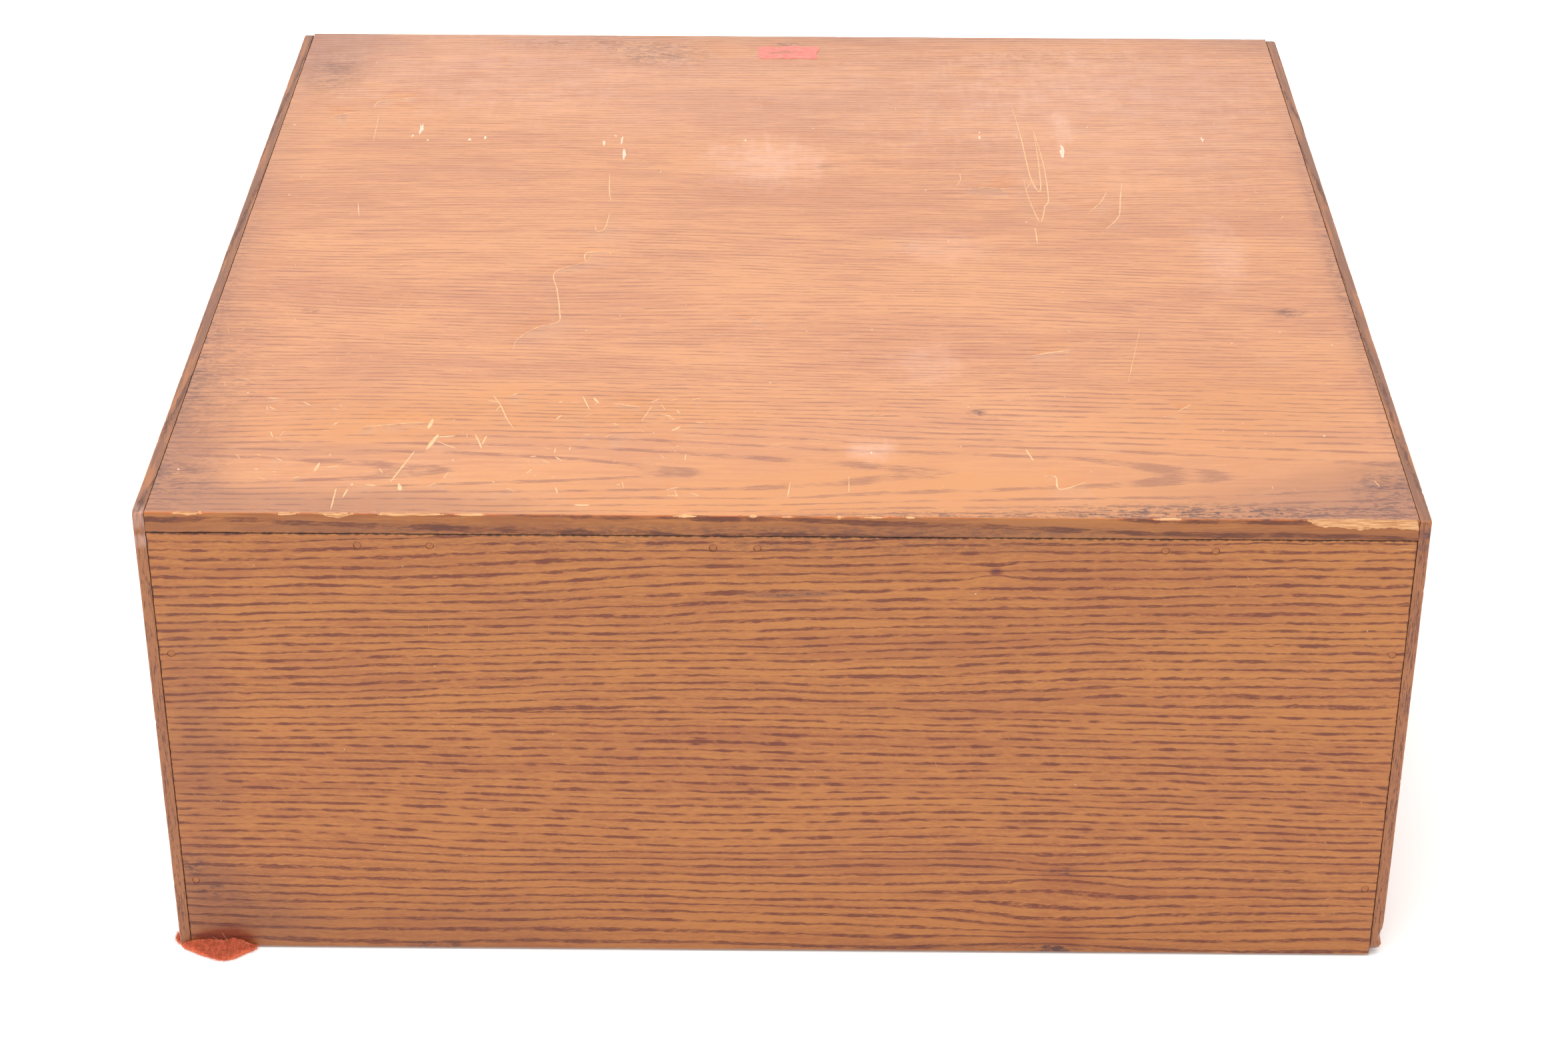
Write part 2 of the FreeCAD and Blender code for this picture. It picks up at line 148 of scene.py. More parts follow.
class Surface:
    """One material, with short words for the nodes that it is made of."""

    def __init__(self, name):
        self.material = bpy.data.materials.new(name)
        self.material.use_nodes = True
        self.tree = self.material.node_tree
        self.shader = self.tree.nodes["Principled BSDF"]

    def feed(self, socket, value):
        if isinstance(value, Signal):
            self.tree.links.new(value.socket, socket)
        else:
            socket.default_value = value

    def node(self, kind, inputs, output=0, **settings):
        node = self.tree.nodes.new(kind)
        for name, value in settings.items():
            setattr(node, name, value)
        for key, value in inputs.items():
            self.feed(node.inputs[key], value)
        return Signal(self, node.outputs[output])

    def math(self, operation, *values):
        return self.node("ShaderNodeMath", dict(enumerate(values)), operation=operation)

    def place(self):
        """The three coordinates of a point, in millimetres, which ride with the piece."""
        point = self.node("ShaderNodeTexCoord", {}, "Object")
        point = self.node("ShaderNodeVectorMath", {0: point, "Scale": 1 / METRE}, operation="SCALE")
        return [self.node("ShaderNodeSeparateXYZ", {0: point}, i) for i in range(3)]

    def facing(self, axis):
        """How much the surface faces along an axis, either way: 0 to 1."""
        normal = self.node("ShaderNodeTexCoord", {}, "Normal")
        return self.math("ABSOLUTE", self.node("ShaderNodeSeparateXYZ", {0: normal}, axis))

    def noise(self, x, y, z=0.0, detail=2.0, roughness=0.5):
        point = self.node("ShaderNodeCombineXYZ", {0: x, 1: y, 2: z})
        inputs = {"Vector": point, "Scale": 1.0, "Detail": detail, "Roughness": roughness}
        return self.node("ShaderNodeTexNoise", inputs)

    def ease(self, value, low, high, start=0.0, end=1.0, kind="SMOOTHSTEP"):
        """A smooth step from start to end as the value goes from low to high."""
        inputs = {"Value": value, "From Min": low, "From Max": high, "To Min": start, "To Max": end}
        return self.node("ShaderNodeMapRange", inputs, interpolation_type=kind)

    def mix(self, amount, first, second):
        return self.node("ShaderNodeMix", {0: amount, 6: first, 7: second}, 2, data_type="RGBA")

    def stained(self, a, b, stains, breakup):
        """How strongly a point is stained by soft-edged patches.

        Each patch is (a, b, reach along a, reach along b, strength). `breakup` is a noise that frays its edge.
        """
        total = self.math("MULTIPLY", 0.0, 0.0)
        for centre_a, centre_b, reach_a, reach_b, strength in stains:
            offset_a = (a - centre_a) / reach_a
            offset_b = (b - centre_b) / reach_b
            distance = self.math("SQRT", offset_a * offset_a + offset_b * offset_b)
            total = total + self.ease(distance + (breakup - 0.5) * 1.1, 0.15, 1.0, strength, 0.0)
        return self.math("MINIMUM", total, 1.0)

    def relief(self, height, distance):
        """Bumps of the given height in millimetres where the signal is 1."""
        bump = self.node("ShaderNodeBump", {"Height": height, "Distance": distance * METRE, "Strength": 1.0})
        self.feed(self.shader.inputs["Normal"], bump)

    def finish(self, **inputs):
        for name, value in inputs.items():
            self.feed(self.shader.inputs[name.replace("_", " ")], value)
        return self.material


# One of the widths of wood glued edge to edge into a board. It begins at `start` across the grain, where its
# joint drifts by `lean`. The tree's heart is at `heart`: across, into the board, and its slope. `spacing` is
# that of the growth rings, and `tone` darkens the strip. `gaps` is how much the rows of pores are broken up,
# and `strength` how strongly the pores show beside the other strips'.
Strip = namedtuple("Strip", "start lean heart spacing tone gaps strength", defaults=(0.0, 0.5, 1.0))


class Oak:
    """How one board's wood looks. Axes are indices: along the grain, across it, and into the board."""

    wave = 8.0  # how far the rings wander
    jag = 1.3  # the small unevenness of a row
    row = 0.3  # how much of a ring the pores fill
    dash = 2.2  # length of a pore
    fineness = 0.3  # thickness of a pore
    lean = 0.1  # how the pores slant across their row
    gap = 14.0  # the distance between the breaks in a row
    fill = 0.5  # how densely a row is filled with pores
    between = 0.5  # how much sparser the pores are between the rows
    pores = 0.75
    halo = 0.5  # the darker wood round the pores
    crowds = ()  # (from, to, extra rings): bands where the rings are closer
    flecks = 0.0
    mottle = 0.3  # broad cloudy unevenness of the stain
    ripple = 0.6  # how much darker some rings are than others
    streaks = 0.3  # long fine streaks of lighter and darker wood
    grit = 0.3  # short fine flecks of lighter and darker wood
    shift = 0.0  # moves the whole pattern, so that no two boards are alike
    roughness = 0.42
    coat = 0.1
    gloss = 0.4
    edges = None  # (a low, b low, a high, b high) of the joints round the face, for their dirt
    edge_dirt = 0.8
    edge = rgb(138, 76, 40)
    edge_shade = 0.1  # how much of that colour the board's long edges have
    end_shade = 0.5  # the same for its end grain
    edge_wear = 0.6
    golden = rgb(178, 116, 64)
    bare = rgb(214, 160, 112)
    # Stain patches. Some broad pale patches on the top are painted glare of its varnish, and two red patches
    # on the back are a painted shadow and reflection of the loose felt.
    shade = grime = haze = gold = red = ()  # stains
    knots = ()  # (a, b, reach along a, reach along b, how far they push the rings)

    def __init__(self, axes, light, dark, pore, strips, **changes):
        self.axes = axes
        self.light = light
        self.dark = dark
        self.pore = pore
        self.strips = strips
        vars(self).update(changes)


EDGE_PORE = rgb(70, 32, 22)
SHADE = rgb(104, 60, 52)
RED_STAIN_AND_FELT_SHADOW = rgb(116, 38, 20)
GRIME = rgb(62, 40, 46)
PALE_DUST_AND_GLARE = rgb(220, 184, 172)
JOINT_DIRT = rgb(38, 18, 12)


def bent_grain(s, look, a, b, u, w):
    """The distance across the grain, bent as the rings wander and flow round knots."""
    bends = (
        (230.0, 60.0, 80.0, look.wave * 2.0), (55.0, 20.0, 30.0, look.wave * 0.35),
        (14.0, 4.0, 8.0, look.jag), (4.0, 1.6, 3.0, look.jag * 0.45),
    )
    v = b
    for length, breadth, thickness, reach in bends:
        v = v + (s.noise(u / length, b / breadth, w / thickness, 1.0) - 0.5) * reach
    for centre_a, centre_b, reach_a, reach_b, push in look.knots:
        offset_a = (a - centre_a) / reach_a
        offset_b = (b - centre_b) / reach_b
        closeness = s.math("EXPONENT", (offset_a * offset_a + offset_b * offset_b) * -1.0)
        v = v + closeness * s.math("TANH", offset_b * 2.0) * push
    return v


def soiling_and_painted_light(s, look, a, b, w, clutter, cloud, level, colour, rough):
    """The colour and the roughness with their patches: shaded, stained red, grimy and hazed with dust. Some
    red patches are a painted shadow and reflection of the felt, and some pale ones are painted glare.
    """
    if look.shade:
        colour = s.mix(s.stained(a, b, look.shade, cloud) * level * 0.5, colour, SHADE)
    # Red patches: stains round knots, and beside the loose felt a painted shadow and reflection of the felt.
    if look.red:
        colour = s.mix(s.stained(a, b, look.red, clutter) * 0.72, colour, RED_STAIN_AND_FELT_SHADOW)
    if look.grime:
        crisp = s.noise(a / 3.4, b / 0.9, w / 3.0, 4.0, 0.7)
        speckle = s.ease(clutter * 0.35 + crisp * 0.65, 0.48, 0.55, 0.1, 1.0)
        grime = s.stained(a, b, look.grime, clutter) * speckle * level
        colour = s.mix(grime * 0.85, colour, GRIME)
        rough = rough + grime * 0.15
    # Pale patches: dust and smudges, and towards the top's -Y edge a painted glare of its varnish.
    if look.haze:
        streaky = s.noise(a / 3.0, b / 22.0, w, 3.0)
        patchy = s.ease(s.noise(a / 12.0, b / 9.0, w, 4.0, 0.6), 0.35, 0.65, 0.5, 1.0)
        haze = s.stained(a, b, look.haze, clutter * 1.0 + streaky * 0.6 - 0.3) * patchy
        colour = s.mix(haze * 0.34, colour, PALE_DUST_AND_GLARE)
        rough = rough + haze * 0.12
    return colour, rough


def joint_dirt(s, look, a, b, w, colour):
    """The colour with a ragged dark line along the joints round the face."""
    low_a, low_b, high_a, high_b = look.edges
    inside_a = s.math("MINIMUM", a - low_a, high_a - a)
    inside = s.math("MINIMUM", inside_a, s.math("MINIMUM", b - low_b, high_b - b))
    reach = s.ease(s.noise(a / 2.0, b / 2.0, w / 2.0, 3.0), 0.35, 0.7, 0.25, 1.1)
    return s.mix(s.ease(inside / reach, 0.1, 1.0, look.edge_dirt, 0.0), colour, JOINT_DIRT)


def oak(name, look):
    """Oak: growth rings that wander, a row of open pores in each ring, fine fibre, dirt and wear."""
    s = Surface(name)
    place = s.place()
    a, b, deep = [place[axis] for axis in look.axes]
    starts, leans, hearts, spacings, tones, gaps, strengths = zip(*look.strips)
    past = [s.math("GREATER_THAN", b + a * lean, start) for start, lean in zip(starts[1:], leans[1:])]

    def by_strip(values):
        """One of the values, by the strip of wood that a point is in."""
        total = s.math("ADD", values[0], 0.0)
        for inside, before, after in zip(past, values, values[1:]):
            if after != before:
                total = total + inside * (after - before)
        return total

    number = by_strip(range(len(look.strips)))
    u = a + look.shift * 37.0 + number * 173.0
    w = deep + look.shift * 11.0 + number * 57.0
    v = bent_grain(s, look, a, b, u, w)

    # Growth rings round the tree's heart.
    heart_b, heart_deep, heart_slope = [by_strip(values) for values in zip(*hearts)]
    from_heart_b = v - heart_b
    from_heart_deep = deep - heart_deep - a * heart_slope
    ring = s.math("SQRT", from_heart_b * from_heart_b + from_heart_deep * from_heart_deep)
    turns = ring * by_strip([1.0 / spacing for spacing in spacings])
    turns = turns + (s.noise(ring / 22.0, 3.1 + number, 0.0, 1.0) - 0.5) * 1.8
    crowded = s.math("MULTIPLY", 0.0, 0.0)
    for low, high, extra in look.crowds:
        turns = turns + s.ease(b, low, high, 0.0, extra, "LINEAR")
        crowded = s.ease(b, low, low + 14.0) * s.ease(b + a * 0.02, high - 6.0, high, 1.0, 0.0)

    # A row of pores in each ring.
    away = s.math("ABSOLUTE", s.math("FRACT", turns) - 0.5) * 2.0
    thick = s.noise(u / 30.0, turns * 0.9, 9.0, 1.0) * (look.row * 2.0)
    row = s.ease(away / thick, 0.5, 1.5, 1.0, 0.0)
    gap = s.noise(u / look.gap, s.math("FLOOR", turns) * 2.7, number, 1.0) - 0.5
    gap = gap * s.math("MAXIMUM", by_strip(gaps), crowded * 0.6) * 1.6
    thin_w = w / look.fineness
    dashes = s.noise(u / look.dash, (v + u * look.lean) / look.fineness, thin_w, 3.0, 0.7) - 0.5
    if look.crowds:
        longer = s.noise(u / (look.dash * 1.8), v / (look.fineness * 1.7), thin_w, 3.0, 0.7) - 0.5
        dashes = dashes + crowded * (longer - dashes) * 0.6
    openness = dashes + gap + (row - 1.0) * look.between
    end, edge, flat = [s.facing(axis) for axis in look.axes]
    along = s.ease(end, 0.6, 0.9, 1.0, 0.0)
    on_edge = s.ease(edge, 0.6, 0.9)
    pore = s.ease(openness, -0.06 - 0.12 * look.fill, 0.22 - 0.12 * look.fill) * along
    halo = s.ease(gap + dashes * 0.6 + (row - 1.0) * 0.4, -0.25, 0.08) * along

    # The wood between the pores.
    clutter = s.noise(a / 9.0, b / 6.0, w / 9.0, 6.0, 0.68)
    cloud = s.noise(u / 90.0, b / 38.0, w / 60.0, 3.0, 0.6)
    fibre = s.noise(u / 14.0, v / 0.6, w / 0.6, 3.0, 0.65)
    tone = s.noise(u / 150.0, ring / 9.0, w / 40.0, 2.0)
    streak = s.noise(u / 45.0, v / 1.8, w / 1.8, 2.0, 0.6)
    grit = s.noise(u / 2.4, v / 0.5, w / 0.5, 2.0, 0.65)
    uneven = (tone - 0.5) * look.ripple + (fibre - 0.5) * 0.9 + (cloud - 0.5) * (look.mottle * 2.0)
    uneven = uneven + (streak - 0.5) * look.streaks + (grit - 0.5) * look.grit
    shade = s.ease(uneven, -0.22, 0.24, 0.0, 0.6) + by_strip(tones)
    shade = s.math("MINIMUM", s.math("MAXIMUM", shade, 0.0) + halo * look.halo, 1.0)
    colour = s.mix(shade, look.light, look.dark)
    if look.gold:
        colour = s.mix(s.stained(a, b, look.gold, cloud) * 0.6, colour, look.golden)
    if look.flecks:
        fleck = s.noise((a + b) / 6.0, (a - b) / 2.6, w / 2.0, 2.0)
        fleck = s.ease(fleck, 0.52, 0.68) * crowded * look.flecks
        colour = s.mix(fleck * 0.6, colour, look.light)
        pore = pore * (1.0 - fleck)

    # Long edges and end grain, which take the stain darker.
    edge_colour = s.mix(s.ease(streak, 0.45, 0.7) * 0.6, look.edge, look.light)
    colour = s.mix(on_edge * look.edge_shade, colour, edge_colour)
    colour = s.mix((1.0 - along) * look.end_shade, colour, look.edge)
    end_line = s.noise(b / 9.0, w / 0.45, 4.4, 3.0, 0.6)
    end_line = end_line + (s.noise(b / 2.4, w / 0.3, 7.7, 2.0) - 0.5) * 0.7
    colour = s.mix((1.0 - along) * s.ease(end_line, 0.5, 0.68, 0.0, 0.85), colour, look.pore)
    strength = by_strip([look.pores * strength for strength in strengths])
    pore_colour = s.mix(on_edge, look.pore, EDGE_PORE)
    colour = s.mix(pore * s.math("MAXIMUM", edge * 0.7, strength), colour, pore_colour)

    # Dirt, worn corners and joints, with painted glare and a painted felt shadow among the patches.
    rough = look.roughness + pore * 0.1 + (clutter - 0.5) * 0.12
    level = s.ease(edge, 0.6, 0.9, 1.0, 0.3)
    colour, rough = soiling_and_painted_light(s, look, a, b, w, clutter, cloud, level, colour, rough)
    turned = s.math("MAXIMUM", end * 0.6, edge)
    worn = s.ease(flat * turned * 2.0, 0.5, 0.9) * s.ease(clutter, 0.4, 0.56) * look.edge_wear
    colour = s.mix(worn, colour, look.bare)
    if look.edges:
        colour = joint_dirt(s, look, a, b, w, colour)

    s.relief((1.0 - pore) + fibre * 0.12, 0.1)
    finish = {"Coat_Weight": look.coat, "Coat_Roughness": 0.3, "Specular_IOR_Level": look.gloss}
    return s.finish(Base_Color=colour, Roughness=rough, **finish)


def bare_oak(name, light, dark):
    """Raw wood where the varnish has been scratched or split away."""
    s = Surface(name)
    x, y, z = s.place()
    fibre = s.noise(x / 9.0, y / 0.3, z / 0.3, 3.0)
    s.relief(fibre, 0.15)
    return s.finish(Base_Color=s.mix(s.ease(fibre, 0.35, 0.65), light, dark), Roughness=0.75)


def plaster(name):
    """Specks of old white paint."""
    s = Surface(name)
    x, y, z = s.place()
    grain = s.noise(x / 0.8, y / 0.8, z / 0.8, 2.0)
    s.relief(grain, 0.05)
    return s.finish(Base_Color=s.mix(grain, rgb(216, 192, 174), rgb(196, 160, 134)), Roughness=0.8)


# ---- Boards ------------------------------------------------------------------------------------------------

CORNER_STEPS = 5
ARRIS_STEPS = 5
TRULY_FLAT = 0.99999

# A board's material slots.
SPLIT, SPECK, SCRATCHED, REAR_EDGE, FRONT_EDGE = 1, 2, 3, 4, 5
HOLE = -1

# One sample of a board's outline, and a closed loop of vertices with their (a, b).
Rim = namedtuple("Rim", "side along point inward")
Loop = namedtuple("Loop", "points verts")


class Face:
    """A board's outer face: where (a, b, depth) lies in the frame."""

    def __init__(self, a_axis, b_axis, surface_level, inward):
        self.axes = (a_axis, b_axis, 3 - a_axis - b_axis)
        self.surface_level = surface_level
        self.inward = inward

    def point(self, a, b, depth):
        place = [0.0, 0.0, 0.0]
        for axis, value in zip(self.axes, (a, b, self.surface_level + self.inward * depth)):
            place[axis] = value * METRE
        return place


class Chip:
    """Missing wood from `start` to `end` along one side of a face. Sides go round from the low-b side."""

    def __init__(self, side, start, end, across, down, bare=True, growth=0.0):
        self.side = side
        self.start = start
        self.end = end
        self.across = across
        self.down = down
        self.bare = bare
        self.growth = growth  # how much deeper it reaches for each millimetre towards its start

    def amount(self, side, along):
        """0 outside the chip, rising quickly from its ends to a ragged 1."""
        if side != self.side or not self.start < along < self.end:
            return 0.0
        ends = min(along - self.start, self.end - along)
        ramp = min(1.0, ends / min(9.0, (self.end - self.start) / 2.1))
        if not self.bare:
            return ramp * (2 - ramp)
        ragged = 0.75 + 0.7 * noise_at(along * 0.08, self.start) + 0.16 * noise_at(along * 0.5, 5.0)
        return ramp * min(1.0, max(0.12, ragged))


def outline(rect, spacing, corners):
    """Samples round a face, anticlockwise from its low corner, with each corner rounded to its own radius."""
    low_a, low_b, high_a, high_b = rect
    ends = [(low_a, low_b), (high_a, low_b), (high_a, high_b), (low_a, high_b)]
    ways = [(1, 0), (0, 1), (-1, 0), (0, -1)]
    samples = []
    for side in range(4):
        start, finish = Vector(ends[side]), Vector(ends[(side + 1) % 4])
        way, inward = Vector(ways[side]), Vector(ways[(side + 1) % 4])
        before, after = corners[side], corners[(side + 1) % 4]
        length = (finish - start).length - before - after
        count = max(2, round(length / spacing[side]))
        for i in range(count + 1):
            point = start + way * (before + length * i / count)
            samples.append(Rim(side, point[side % 2], point, inward))
        centre = finish - way * after + inward * after
        for i in range(1, CORNER_STEPS):
            turn = math.pi / 2 * i / CORNER_STEPS
            outward = way * math.sin(turn) - inward * math.cos(turn)
            point = centre + outward * after
            samples.append(Rim(side, point[side % 2], point, -outward))
    return samples


class Inlay:
    """A mark let into a face: polygons of (a, b), with the depth of each corner, and a material slot."""

    def __init__(self, slot):
        self.slot = slot
        self.points = []
        self.depths = []
        self.polygons = []

    def stroke(self, path, width, depth):
        """A scratch: a groove that tapers to both ends, deepest along its middle."""
        first = len(self.points)
        count = len(path)
        for i, point in enumerate(path):
            ahead = Vector(path[min(i + 1, count - 1)]) - Vector(path[max(i - 1, 0)])
            ahead.normalize()
            taper = max(0.12, math.sin(math.pi * (i + 0.35) / (count - 0.3))) ** 0.6
            wobble = 0.75 + 0.5 * noise_at(point[0] * 0.8, point[1] * 0.8, 3.0)
            aside = Vector((-ahead.y, ahead.x)) * (width / 2) * (taper * wobble)
            middle = Vector(point)
            bottom = 0.0 if i in (0, count - 1) else depth * taper
            self.points += [middle + aside, middle, middle - aside]
            self.depths += [0.0, bottom, 0.0]
        for i in range(count - 1):
            for lane in (0, 1):
                corner = first + 3 * i + lane
                self.polygons.append((corner, corner + 1, corner + 4, corner + 3))

    def spot(self, a, b, radius, depth, seed, stretch=1.0):
        """An uneven round speck."""
        first = len(self.points)
        sides = 13
        for turn in round_turns(sides):
            uneven = noise_at(1.6 * math.cos(turn), 1.6 * math.sin(turn), seed)
            reach = radius * max(0.3, 0.8 + 0.9 * uneven)
            self.points.append(Vector((a + reach * stretch * math.cos(turn), b + reach * math.sin(turn))))
        self.points.append(Vector((a, b)))
        self.depths += [0.0] * sides + [depth]
        for i in range(sides):
            self.polygons.append((first + i, first + (i + 1) % sides, first + sides))


def curve(points, step=1.6, jitter=0.12):
    """A smooth path through a few points, with the small wobble of a hand-made scratch."""
    if len(points) == 2:
        (x0, y0), (x1, y1) = points
        points = [points[0], ((x0 + x1) / 2, (y0 + y1) / 2), points[1]]
    places = [Vector(p) for p in (points[0], *points, points[-1])]
    path = []
    for p0, p1, p2, p3 in zip(places, places[1:], places[2:], places[3:]):
        count = max(1, round((p2 - p1).length / step))
        for k in range(count):
            t = k / count
            bend = 2 * p0 - 5 * p1 + 4 * p2 - p3
            twist = 3 * p1 - p0 - 3 * p2 + p3
            place = 0.5 * (2 * p1 + (p2 - p0) * t + bend * t**2 + twist * t**3)
            path.append(place + Vector((noise_at(*place, 1.0), noise_at(*place, 2.0))) * jitter)
    path.append(places[-1])
    return path


def fill(bm, face, rim, depth, holes, inlays, grid):
    """Closes a loop of vertices with triangles, open at the holes, with the inlays let in."""
    points = list(rim.points)
    levels = [depth] * len(points)
    polygons = [list(range(len(points)))]
    kinds = [0]
    known = dict(enumerate(rim.verts))
    for hole in holes:
        first = len(points)
        known.update(enumerate(hole.verts, first))
        points += hole.points
        levels += [depth] * len(hole.points)
        polygons.append(list(range(first, len(points))))
        kinds.append(HOLE)
    for inlay in inlays:
        first = len(points)
        points += inlay.points
        levels += [depth + level for level in inlay.depths]
        polygons += [[first + i for i in polygon] for polygon in inlay.polygons]
        kinds += [inlay.slot] * len(inlay.polygons)
    points += grid
    levels += [depth] * len(grid)
    places, _, triangles, vertex_sources, _, face_sources = delaunay_2d_cdt(points, [], polygons, 1, 1e-4)
    verts = []
    for place, sources in zip(places, vertex_sources):
        vert = next((known[i] for i in sources if i in known), None)
        if vert is None:
            level = max([levels[i] for i in sources], default=depth)
            vert = bm.verts.new(face.point(place.x, place.y, level))
        verts.append(vert)
    for triangle, sources in zip(triangles, face_sources):
        found = [kinds[i] for i in sources]
        corners = [verts[i] for i in triangle]
        if HOLE in found or len(set(corners)) < 3:
            continue
        try:
            new = bm.faces.new(corners)
        except ValueError:
            continue
        new.material_index = max(found, default=0)


def scatter(rect, step, clearance, seed):
    """Loose grid points inside a rectangle."""
    maker = random.Random(seed)
    low_a, low_b, high_a, high_b = rect
    points = []
    count_a = max(1, int((high_a - low_a) / step))
    count_b = max(1, int((high_b - low_b) / step))
    for i in range(count_a):
        for k in range(count_b):
            a = low_a + (i + 0.5 + maker.uniform(-0.25, 0.25)) * (high_a - low_a) / count_a
            b = low_b + (k + 0.5 + maker.uniform(-0.25, 0.25)) * (high_b - low_b) / count_b
            if min(a - low_a, high_a - a, b - low_b, high_b - b) > clearance:
                points.append(Vector((a, b)))
    return points


def edge_wear(sample, arris, chips, nick, seed):
    """(across, down, how bare) at one sample of a board's outline."""
    along = sample.along + 500.0 * sample.side
    width = arris[sample.side]
    radius = width * (1.0 + 0.45 * noise_at(along * 0.045, seed))
    dents = max(0.0, noise_at(along * 0.33, seed, 8.0) - 0.32) * 2.4
    dents += max(0.0, noise_at(along * 1.1, seed, 4.0) - 0.35)
    across = radius + dents * nick * width
    down = radius + dents * nick * width * 0.8
    bare = 0.0
    for chip in chips:
        amount = chip.amount(sample.side, sample.along)
        if amount > 0:
            across = max(across, chip.across * amount)
            down = max(down, (chip.down + chip.growth * (chip.end - sample.along)) * amount)
            bare = max(bare, amount if chip.bare else 0.0)
    return across, down, bare


def arris_row(step, samples, worn, seed):
    """One row's insets and levels round a worn arris: rounded where it is whole, split where it is bare."""
    straight = step / ARRIS_STEPS
    turn = math.pi / 2 * step / ARRIS_STEPS
    round_in, round_down = 1 - math.sin(turn), 1 - math.cos(turn)
    insets = []
    levels = []
    for sample, (across, down, bare) in zip(samples, worn):
        flat = min(1.0, bare * 3.0) * 0.85
        inset = across * (round_in * (1 - flat) + (1 - straight) * flat)
        level = down * (round_down * (1 - flat) + straight * flat)
        if flat > 0 and 0 < step < ARRIS_STEPS:
            fray = noise_at(sample.along * 0.12, step * 2.3, seed) * 0.35
            inset = max(0.0, inset + fray)
            level = max(0.0, level - fray)
        insets.append(inset)
        levels.append(level)
    return insets, levels


def ring(bm, face, hole, depth):
    """The rim of a round hole, as (a, b, radius)."""
    a, b, radius = hole
    points = []
    for turn in round_turns(18):
        reach = radius * (1 + 0.07 * noise_at(a + math.cos(turn), b + math.sin(turn), 2.0))
        points.append(Vector((a + reach * math.cos(turn), b + reach * math.sin(turn))))
    return Loop(points, [bm.verts.new(face.point(p.x, p.y, depth)) for p in points])


def bridge(bm, near, far):
    """Quads between two rings of vertices."""
    next_near, next_far = near[1:] + near[:1], far[1:] + far[:1]
    return [bm.faces.new(corners) for corners in zip(near, next_near, next_far, far)]


def board(name, face, rect, steps, arris, spacing, corners, chips=(), inlays=(), holes=(), nick=0.5, seed=1):
    """A board with worn edges. `steps` are (rect, inset, depth) rows from the arris to the inner face."""
    bm = bmesh.new()
    samples = outline(rect, spacing, corners)
    low_a, low_b, high_a, high_b = rect

    def row(target, insets, levels):
        points = []
        for sample, inset in zip(samples, insets):
            share_a = (sample.point.x - low_a) / (high_a - low_a)
            share_b = (sample.point.y - low_b) / (high_b - low_b)
            a = target[0] + share_a * (target[2] - target[0]) + sample.inward.x * inset
            b = target[1] + share_b * (target[3] - target[1]) + sample.inward.y * inset
            points.append((a, b))
        verts = [bm.verts.new(face.point(a, b, level)) for (a, b), level in zip(points, levels)]
        return Loop([Vector(point) for point in points], verts)

    worn = [edge_wear(sample, arris, chips, nick, seed) for sample in samples]
    count = len(samples)
    rows = [row(rect, *arris_row(step, samples, worn, seed)) for step in range(ARRIS_STEPS + 1)]
    rows += [row(target, [inset] * count, [depth] * count) for target, inset, depth in steps]
    for j, (near, far) in enumerate(zip(rows, rows[1:])):
        tapered = 0.1 + 0.15 * abs(j - (ARRIS_STEPS - 1) / 2)
        for i, quad in enumerate(bridge(bm, near.verts, far.verts)):
            if j < ARRIS_STEPS and min(worn[i][2], worn[(i + 1) % count][2]) > tapered:
                quad.material_index = SPLIT

    inner_rect, _, inner_depth = steps[-1]
    outer_holes = [ring(bm, face, hole, 0.0) for hole in holes]
    inner_holes = [ring(bm, face, hole, inner_depth) for hole in holes]
    for outer, inner in zip(outer_holes, inner_holes):
        bridge(bm, outer.verts, inner.verts)
    margin = 2.0 + max([chip.across for chip in chips], default=0.0)
    fill(bm, face, rows[0], 0.0, outer_holes, inlays, scatter(rect, 16.0, margin, seed))
    fill(bm, face, rows[-1], inner_depth, inner_holes, (), scatter(inner_rect, 40.0, 8.0, seed))
    return as_object(bm, name)


def as_object(bm, name, angle=35.0):
    """A finished mesh object, shaded smooth except at sharp edges and on true flats."""
    bmesh.ops.remove_doubles(bm, verts=bm.verts, dist=1e-7)
    bmesh.ops.dissolve_degenerate(bm, edges=bm.edges, dist=1e-8)
    bmesh.ops.recalc_face_normals(bm, faces=bm.faces)
    mesh = bpy.data.meshes.new(name)
    bm.to_mesh(mesh)
    bm.free()
    curved = [max(abs(part) for part in polygon.normal) < TRULY_FLAT for polygon in mesh.polygons]
    mesh.polygons.foreach_set("use_smooth", curved)
    mesh.set_sharp_from_angle(angle=math.radians(angle))
    thing = bpy.data.objects.new(name, mesh)
    bpy.context.scene.collection.objects.link(thing)
    return thing


def dress(thing, *materials):
    for material in materials:
        thing.data.materials.append(material)


def settle(thing, node):
    """The piece rides on the carcass in place of the node, which is hidden."""
    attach(thing, "carcass")
    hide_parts(node)


# ---- The carcass's boards ----------------------------------------------------------------------------------

BARE = bare_oak("bare_oak", rgb(212, 162, 114), rgb(170, 114, 70))
SCRATCH = bare_oak("scratched_oak", rgb(212, 172, 132), rgb(194, 148, 108))
PLASTER = plaster("white_specks")

